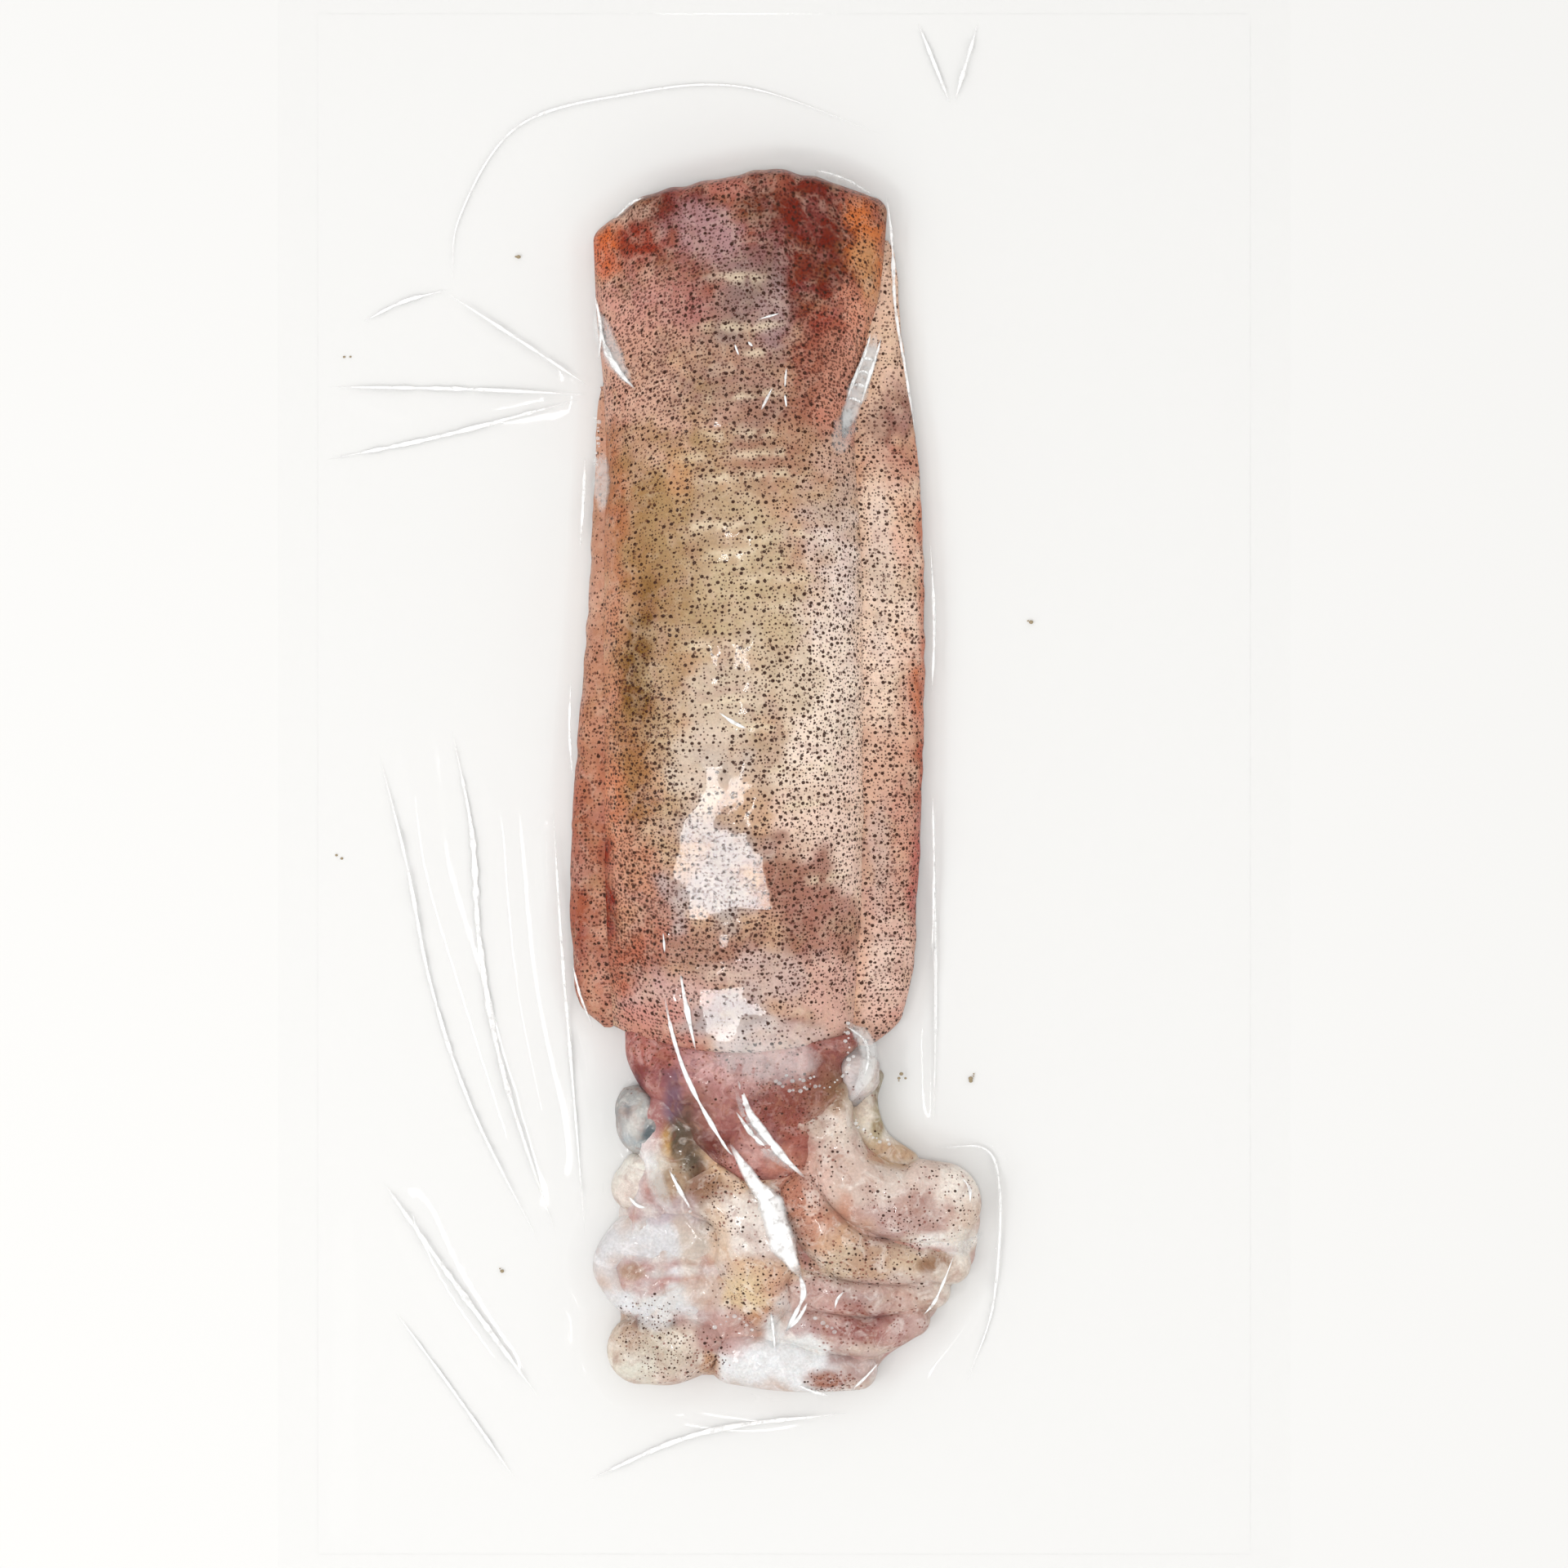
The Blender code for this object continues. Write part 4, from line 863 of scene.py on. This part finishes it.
def make_weld():
    """Pressed seal round the pouch, where the two webs are melted into one stiff band."""
    corner = 3.0
    section = ((0.0, 0.08), (0.1, 0.05), (WELD_WIDTH, 0.05), (WELD_WIDTH, 0.12), (WELD_WIDTH - 0.2, 0.16),
               (0.3, 0.16))
    rings = []
    for quarter, signs in enumerate(((1, 1), (-1, 1), (-1, -1), (1, -1))):
        for turn in np.radians(np.arange(0, 91, 15)) + quarter * math.pi / 2:
            rings.append([(*(sign * (half - max(inward, corner)) + part * max(corner - inward, 0.02)
                             for sign, half, part in zip(signs, POUCH_HALF, (math.cos(turn), math.sin(turn)))), z)
                          for inward, z in section])
    count, around = len(rings), len(section)
    faces = [(k * around + j, k * around + (j + 1) % around, (k + 1) % count * around + (j + 1) % around,
              (k + 1) % count * around + j) for k in range(count) for j in range(around)]
    weld = outward(new_piece("film_weld", np.reshape(rings, (-1, 3)), faces, "pouch"))
    weld.data.polygons.foreach_set("use_smooth", [False] * len(weld.data.polygons))
    return weld


# Chains of small bubbles squeezed under the film, and crumbs of brown skin in the margin.
BUBBLE_CHAINS = (
    ((15.4, -59), (15.4, -63), (16.4, -67), (14.4, -71), (10.8, -74), (6.4, -73.6), (2, -74.6), (-2, -72.6)),
    ((7, -71), (4, -72), (1, -71.4)), ((-27.4, -95.6), (-25, -100), (-23.4, -104)), ((17, -82), (21, -86), (26, -88)),
    ((-16.6, -133), (-12, -130), (-8, -133)), ((8, -131), (10.6, -133), (12.4, -134)),
    ((-46, 90), (-45.6, 84), (-46, 78)),
)
CRUMBS = ((28, -72.4), (45.8, -72.4), (46.4, -71.8), (-66, 130), (-108, 106), (-110, -18), (60, 40), (-70, -120),
          (29, -71.8))


def scattered(name, chains, spacing, size, seed, material):
    """Small flattened balls strung along lines of points (mm), each with a size of its own."""
    tree = bpy.data.node_groups.new(name + " nodes", "GeometryNodeTree")
    tree.interface.new_socket("Geometry", in_out="INPUT", socket_type="NodeSocketGeometry")
    given_values = {}
    for label, kind, value in (("Spacing", "NodeSocketFloat", spacing * MM), ("Size", "NodeSocketFloat", size * MM),
                               ("Seed", "NodeSocketInt", seed)):
        given_values[tree.interface.new_socket(label, in_out="INPUT", socket_type=kind).identifier] = value
    tree.interface.new_socket("Geometry", in_out="OUTPUT", socket_type="NodeSocketGeometry")

    def made_by(kind, links, settings=None, output=0):
        return add_node(tree, kind, settings, links).outputs[output]

    given = add_node(tree, "NodeGroupInput").outputs
    curve = made_by("GeometryNodeMeshToCurve", {0: given["Geometry"]})
    evenly = made_by("GeometryNodeResampleCurve", {"Curve": curve, "Length": given["Spacing"]}, {"mode": "LENGTH"})
    shift = made_by("FunctionNodeRandomValue", {0: (-0.0006, -0.0006, 0.0), 1: (0.0006, 0.0006, 0.0),
                                                "Seed": given["Seed"]}, {"data_type": "FLOAT_VECTOR"})
    loose = made_by("GeometryNodeSetPosition", {"Geometry": evenly, "Offset": shift})
    ball = made_by("GeometryNodeMeshIcoSphere", {"Radius": given["Size"], "Subdivisions": 3})
    grown = made_by("FunctionNodeRandomValue", {2: 0.45, 3: 1.3, "Seed": given["Seed"]}, {"data_type": "FLOAT"}, 1)
    shape = made_by("ShaderNodeCombineXYZ", {0: 1.0, 1: 0.85, 2: 0.5})
    scale = made_by("ShaderNodeVectorMath", {0: shape, 3: grown}, {"operation": "SCALE"})
    balls = made_by("GeometryNodeInstanceOnPoints", {"Points": loose, "Instance": ball, "Scale": scale})
    real = made_by("GeometryNodeRealizeInstances", {0: balls})
    smooth = made_by("GeometryNodeSetShadeSmooth", {0: real})
    finished = made_by("GeometryNodeSetMaterial", {"Geometry": smooth, "Material": material})
    add_node(tree, "NodeGroupOutput", {}, {0: finished})

    edges, first = [], 0
    for chain in chains:
        edges += [(first + k, first + k + 1) for k in range(len(chain) - 1)]
        first += len(chain)
    mesh = bpy.data.meshes.new(name + " line")
    mesh.from_pydata((np.concatenate(chains) * MM).tolist(), edges, [])
    carrier = bpy.data.objects.new(name + " line", mesh)
    bpy.context.scene.collection.objects.link(carrier)
    modifier = carrier.modifiers.new("strung", "NODES")
    modifier.node_group = tree
    for identifier, value in given_values.items():
        modifier[identifier] = value
    bpy.context.view_layer.update()
    made = bpy.data.meshes.new_from_object(carrier.evaluated_get(bpy.context.evaluated_depsgraph_get()))
    bpy.data.objects.remove(carrier)
    piece = bpy.data.objects.new(name, made)
    bpy.context.scene.collection.objects.link(piece)
    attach(piece, "root")
    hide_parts("pouch")
    return piece


def make_back_film():
    """Back web, flat on the table under everything, with the least lift so that it never cuts the floor."""
    half_x, half_y = (half - WELD_WIDTH + WELD_LAP for half in POUCH_HALF)
    x, y = np.meshgrid(np.linspace(-half_x, half_x, 60), np.linspace(-half_y, half_y, 90), indexing="ij")
    return web("film_back", x, y, 0.06 + 0.04 * patchy(x, y, 20, 91) ** 2, (0, 3, 2, 1))


# ---------------------------------------------------------------- materials
def add_node(tree, kind, settings=None, links=None):
    """A node with its settings and its links: values by socket, or another node's output."""
    node = tree.nodes.new(kind)
    for key, value in (settings or {}).items():
        setattr(node, key, value)
    for socket, value in (links or {}).items():
        if isinstance(value, bpy.types.NodeSocket):
            tree.links.new(value, node.inputs[socket])
        else:
            node.inputs[socket].default_value = value
    return node


def new_material(name):
    """An empty material, its node tree, and the place on the object."""
    made = bpy.data.materials.new(name)
    made.use_nodes = True
    made.node_tree.nodes.clear()
    return made, made.node_tree, add_node(made.node_tree, "ShaderNodeTexCoord").outputs["Object"]


def surface(tree, shader):
    add_node(tree, "ShaderNodeOutputMaterial", {}, {"Surface": shader})


def rgba(code):
    return (*linear(code), 1.0)


def arithmetic(tree, operation, *values):
    return add_node(tree, "ShaderNodeMath", {"operation": operation}, dict(enumerate(values))).outputs[0]


def remapped(tree, value, low, high, to_low=0.0, to_high=1.0, kind="LINEAR"):
    """A value carried from one range to another and held at its ends."""
    return add_node(tree, "ShaderNodeMapRange", {"interpolation_type": kind},
                    {0: value, 1: low, 2: high, 3: to_low, 4: to_high}).outputs[0]


def noise(tree, place, size, detail, roughness, distortion=0.0):
    """Clouds of the size given (mm)."""
    return add_node(tree, "ShaderNodeTexNoise", {}, {"Vector": place, "Scale": 1 / (size * MM), "Detail": detail,
                                                     "Roughness": roughness, "Distortion": distortion}).outputs[0]


def blend(tree, ground, over, factor, kind="MIX"):
    """Colour mixed over a ground colour."""
    return add_node(tree, "ShaderNodeMix", {"data_type": "RGBA", "blend_type": kind},
                    {0: factor, 6: ground, 7: over}).outputs[2]


def mixed(tree, share, first, second):
    return add_node(tree, "ShaderNodeMixShader", {}, {0: share, 1: first, 2: second}).outputs[0]


def see_through(tree):
    return add_node(tree, "ShaderNodeBsdfTransparent", {}, {"Color": (1, 1, 1, 1)}).outputs[0]


def principled(tree, colour, roughness, **more):
    return add_node(tree, "ShaderNodeBsdfPrincipled", {},
                    {"Base Color": colour, "Roughness": roughness, **more}).outputs[0]


def spot_layer(tree, place, size, radius, soft, amount, solid, stretch):
    """Mask of round pigment cells: spaced at size, up to radius across (mm), as many as amount says.
    Solid ones are balls cut by the surface, which stay round on a body that bends."""
    warped = add_node(tree, "ShaderNodeMapping", {}, {"Vector": place, "Scale": (stretch, 1.0, 1.0)}).outputs[0]
    cells = add_node(tree, "ShaderNodeTexVoronoi", {"voronoi_dimensions": "3D" if solid else "2D"},
                     {"Vector": warped, "Scale": 1 / (size * MM), "Randomness": 0.82})
    chance = add_node(tree, "ShaderNodeSeparateColor", {}, {0: cells.outputs["Color"]}).outputs
    grown = remapped(tree, chance[0], 0.0, 1.0, 0.6 * radius / size, 1.2 * radius / size)
    reach = arithmetic(tree, "MULTIPLY", grown, arithmetic(tree, "LESS_THAN", chance[1], amount))
    inside = arithmetic(tree, "SUBTRACT", reach, cells.outputs["Distance"])
    return remapped(tree, inside, -soft / size, soft / size, kind="SMOOTHSTEP")


def squid_skin(name, roughness, glow, flush, lumps, pigment, limb=False):
    """Wet squid skin: translucent, with a colour of its own at each place, clouded by lumps of flesh
    (colour, share covered, size) and set with layers of pigment cells (spacing, radius, softness, colour,
    how strong). Body skin has its cells on its own map, limbs have them in the solid."""
    made, tree, solid = new_material(name)
    place = solid if limb else add_node(tree, "ShaderNodeUVMap", {"uv_map": "skin"}).outputs[0]
    skin, spots = (add_node(tree, "ShaderNodeAttribute", {"attribute_name": layer}).outputs["Color"]
                   for layer in ("tint", "spots"))
    amount = add_node(tree, "ShaderNodeSeparateColor", {}, {0: spots}).outputs
    for number, (colour, share, size) in enumerate(lumps):
        shifted = add_node(tree, "ShaderNodeMapping", {}, {"Vector": solid, "Location": (3.1 * number, 7.7, 0)})
        cloud = noise(tree, shifted.outputs[0], size, 7.0, 0.65, 1.0)
        skin = blend(tree, skin, rgba(colour), remapped(tree, cloud, 0.5, 0.68, 0.0, share))
    skin = blend(tree, skin, rgba(flush), 1.0, "MULTIPLY")
    # fine grain: darkens and lightens the flesh a little, and breaks up its wet shine
    grain = noise(tree, solid, 0.7, 4.0, 0.7)
    skin = add_node(tree, "ShaderNodeVectorMath", {"operation": "SCALE"},
                    {0: skin, 3: remapped(tree, grain, 0.3, 0.7, 0.86, 1.14)}).outputs[0]
    for channel, stretch, (spacing, radius, soft, colour, strength) in zip((2, 1, 0), (0.88, 1.0, 0.88), pigment):
        mask = spot_layer(tree, place, spacing, radius, soft, amount[channel], limb, stretch)
        skin = blend(tree, skin, rgba(colour), arithmetic(tree, "MULTIPLY", mask, strength))
    bump = add_node(tree, "ShaderNodeBump", {}, {"Strength": 0.2, "Distance": 0.08 * MM, "Height": grain})
    surface(tree, principled(tree, skin, roughness, **{
        "IOR": 1.36, "Specular IOR Level": 0.12, "Subsurface Weight": glow, "Subsurface Radius": (1.0, 0.5, 0.35),
        "Subsurface Scale": 0.8 * MM, "Normal": bump.outputs[0]}))
    return made


def pouch_film(name, seal_pitch=None, haze=0.0):
    """Clear polyamide and polyethylene pouch film: light passes straight through, and the surface
    gives back a sharp, slightly rippled reflection. A seal has pressed ribs, and haze turns it milky."""
    made, tree, solid = new_material(name)
    if seal_pitch:
        ribs = add_node(tree, "ShaderNodeTexWave", {"bands_direction": "DIAGONAL"},
                        {"Vector": solid, "Scale": 0.314 / (seal_pitch * MM), "Distortion": 0.0})
        height, depth = ribs.outputs[1], 0.006
    else:
        height, depth = noise(tree, solid, 4.0, 3.0, 0.55, 0.6), 0.03
    bump = add_node(tree, "ShaderNodeBump", {}, {"Strength": 0.5, "Distance": depth * MM, "Height": height}).outputs[0]
    gloss = add_node(tree, "ShaderNodeBsdfGlossy", {}, {"Color": (1, 1, 1, 1), "Roughness": 0.05, "Normal": bump})
    edge_on = add_node(tree, "ShaderNodeLayerWeight", {}, {"Blend": 0.5, "Normal": bump}).outputs["Facing"]
    share = arithmetic(tree, "MULTIPLY_ADD", arithmetic(tree, "POWER", edge_on, 5.0), 0.7, 0.006)
    film = mixed(tree, share, see_through(tree), gloss.outputs[0])
    if haze:
        milky = add_node(tree, "ShaderNodeBsdfDiffuse", {}, {"Color": rgba("#f2f3f2")})
        film = mixed(tree, haze, film, milky.outputs[0])
    surface(tree, film)
    return made


def crease_highlight_film(name):
    """Film folded double and stretched: it turns milky, most along the crest, partly as the fold's own whitening and
    partly as painted highlight, and glints.
    """
    made, tree, solid = new_material(name)
    crest = add_node(tree, "ShaderNodeAttribute", {"attribute_name": "haze"}).outputs["Fac"]
    streaks = remapped(tree, noise(tree, solid, 2.2, 4.0, 0.6), 0.34, 0.50, 0.55, 1.0)
    milky = principled(tree, (0.97, 0.97, 0.965, 1.0), 0.3)
    surface(tree, mixed(tree, arithmetic(tree, "MULTIPLY", crest, streaks), see_through(tree), milky))
    return made


def crumb_skin(name):
    """Torn skin, mottled from dark to pale brown."""
    made, tree, _ = new_material(name)
    mottle = add_node(tree, "ShaderNodeTexNoise", {}, {"Scale": 3000.0, "Detail": 3.0}).outputs["Color"]
    brown = add_node(tree, "ShaderNodeMapRange", {"data_type": "FLOAT_VECTOR"},
                     {"Vector": mottle, 9: linear("#6a5638"), 10: linear("#b8a888")}).outputs["Vector"]
    surface(tree, principled(tree, brown, 0.5))
    return made


def plain(name, colour, roughness):
    made, tree, _ = new_material(name)
    surface(tree, principled(tree, rgba(colour), roughness))
    return made


def dress(material, *pieces):
    for piece in pieces:
        piece.data.materials.clear()
        piece.data.materials.append(material)


# ---------------------------------------------------------------- build
mantle = make_mantle()
fins = [make_fin("fin_left_skin", "fin_left", LEFT_FIN_EDGE, 0),
        make_fin("fin_right_skin", "fin_right", RIGHT_FIN_EDGE, 1)]
soft = make_soft_bodies()
soft["head_web"] = make_arm_web()

paint(mantle, "#c0a086", BODY_TINTS, (0.75, 0.8, 0.25), stripes=0.7)
paint(fins[0], "#c0907a", LEFT_FIN_TINTS)
paint(fins[1], "#cfa890", RIGHT_FIN_TINTS, (0.4, 0.5, 0.2))
FLESH = {"head": ("#ae7c76", HEAD_TINTS), "eye": ("#7c8288", EYE_TINTS), "arm": ("#c4b0a4", ARM_TINTS),
         "tentacle": ("#cfc8be", TENTACLE_TINTS)}
for name, piece in soft.items():
    ground, tints = FLESH[name.split("_")[0]]
    paint(piece, ground, tints + ARM_TINTS if name == "head_web" else tints, (0.0, 0.0, 0.0))

# Clouds of flesh: colour, share covered, size. Pigment cells: spacing, radius, softness, colour, how strong.
BODY_LUMPS = (("#70402f", 0.26, 9.0), ("#e6dccb", 0.22, 5.0), ("#998c60", 0.22, 12.0), ("#b48d90", 0.22, 10.0))
HEAD_LUMPS = (("#5e2a2a", 0.6, 3.4), ("#ded0cc", 0.38, 4.2), ("#5c4650", 0.35, 6.0), ("#b08a6c", 0.32, 3.0))
LIMB_LUMPS = (("#8a5044", 0.42, 5.0), ("#f1ece6", 0.45, 4.0), ("#b08a6c", 0.28, 7.0))
BARE_LUMPS = (("#bba999", 0.22, 6.0), ("#fbfbfc", 0.40, 5.0))
BODY_PIGMENT = ((0.95, 0.34, 0.12, "#481610", 0.7), (0.88, 0.20, 0.07, "#40201a", 0.9),
                (1.70, 0.38, 0.08, "#34190f", 0.95))
LIMB_PIGMENT = ((0.9, 0.32, 0.08, "#7a3c30", 0.7), (0.78, 0.21, 0.05, "#502e22", 0.9),
                (1.2, 0.32, 0.06, "#3a221a", 0.95))
dress(squid_skin("wet squid skin of the mantle and fins", 0.42, 0.1, "#fff6ee", BODY_LUMPS, BODY_PIGMENT),
      mantle, *fins)
limb_skin = squid_skin("wet squid skin of the arms", 0.38, 0.15, "#fefdfc", LIMB_LUMPS, LIMB_PIGMENT, True)
head_skin = squid_skin("bruised skin of the head", 0.36, 0.15, "#fce8e4", HEAD_LUMPS, LIMB_PIGMENT, True)
bare_flesh = squid_skin("bare white flesh of skinned arms", 0.34, 0.2, "#fdfdff", BARE_LUMPS, LIMB_PIGMENT, True)
for name, piece in soft.items():
    dress({"head": head_skin, "arm_6": bare_flesh, "arm_8": bare_flesh}.get(name, limb_skin), piece)

front, pleats, chains, crumbs = make_front_film([mantle, *fins, *soft.values()])
dress(pouch_film("clear vacuum-pouch film"), front, make_back_film())
# the creases are painted white to stand in for the film's highlight streaks and sheens
dress(crease_highlight_film("pouch film creases painted white as highlights"), pleats)
scattered("film_bubbles", chains, 1.2, 0.5, 4, pouch_film("skin of the bubbles under the film", haze=0.3))
scattered("skin_crumbs", crumbs, 0.7, 0.45, 9, crumb_skin("crumbs of brown squid skin"))
dress(pouch_film("pressed heat seal of the pouch", 1.6, 0.01), make_weld())

# ---------------------------------------------------------------- stage, light and camera
scene = bpy.context.scene


def placed(name, data, place=(0, 0, 0)):
    """A new object in the scene that isn't part of the squid."""
    holder = bpy.data.objects.new(name, data)
    scene.collection.objects.link(holder)
    holder.location = place
    return holder


REACH = 2.5
floor_mesh = bpy.data.meshes.new("table")
floor_mesh.from_pydata([(-REACH, -REACH, 0), (REACH, -REACH, 0), (REACH, REACH, 0), (-REACH, REACH, 0)], [],
                       [(0, 1, 2, 3)])
floor_mesh.materials.append(plain("matt white table", "#e4e4e3", 0.9))
table = placed("table", floor_mesh)

scene.world = bpy.data.worlds.new("studio")
scene.world.use_nodes = True
sky = scene.world.node_tree.nodes["Background"].inputs
sky[0].default_value, sky[1].default_value = (1.0, 0.99, 0.975, 1.0), 0.89


def softbox(name, tilt, azimuth, size, power, distance=1.5):
    """A square soft light aimed at the middle of the part. Azimuth 0 is towards +X."""
    lamp = bpy.data.lights.new(name, "AREA")
    lamp.shape, lamp.size, lamp.energy = "SQUARE", size, power
    tilt, azimuth = math.radians(tilt), math.radians(azimuth)
    holder = placed(name, lamp, (distance * math.sin(tilt) * math.cos(azimuth),
                                 distance * math.sin(tilt) * math.sin(azimuth), distance * math.cos(tilt)))
    holder.rotation_euler = (0, tilt, azimuth)
    return holder


softbox("key", 36, 207, 1.1, 4.5)
softbox("glint", 34, 215, 0.045, 1.2)
# narrow window overhead, which the flat facets of the film mirror
window = softbox("window", 0, 0, 0.08, 3.9)
window.data.shape, window.data.size_y = "RECTANGLE", 0.27
window.location = (-0.026, -0.113, 1.52)

CAMERA_HEIGHT, SQUID_MIDDLE, VIEW_WIDTH = 1.5, 0.012, 0.384
lens = bpy.data.cameras.new("camera")
lens.sensor_width, lens.lens = 36.0, 36.0 / VIEW_WIDTH * (CAMERA_HEIGHT - SQUID_MIDDLE)
lens.clip_start, lens.clip_end = 0.05, 20.0
scene.camera = placed("camera", lens, (0, 0, CAMERA_HEIGHT))
scene.view_settings.view_transform = "Standard"
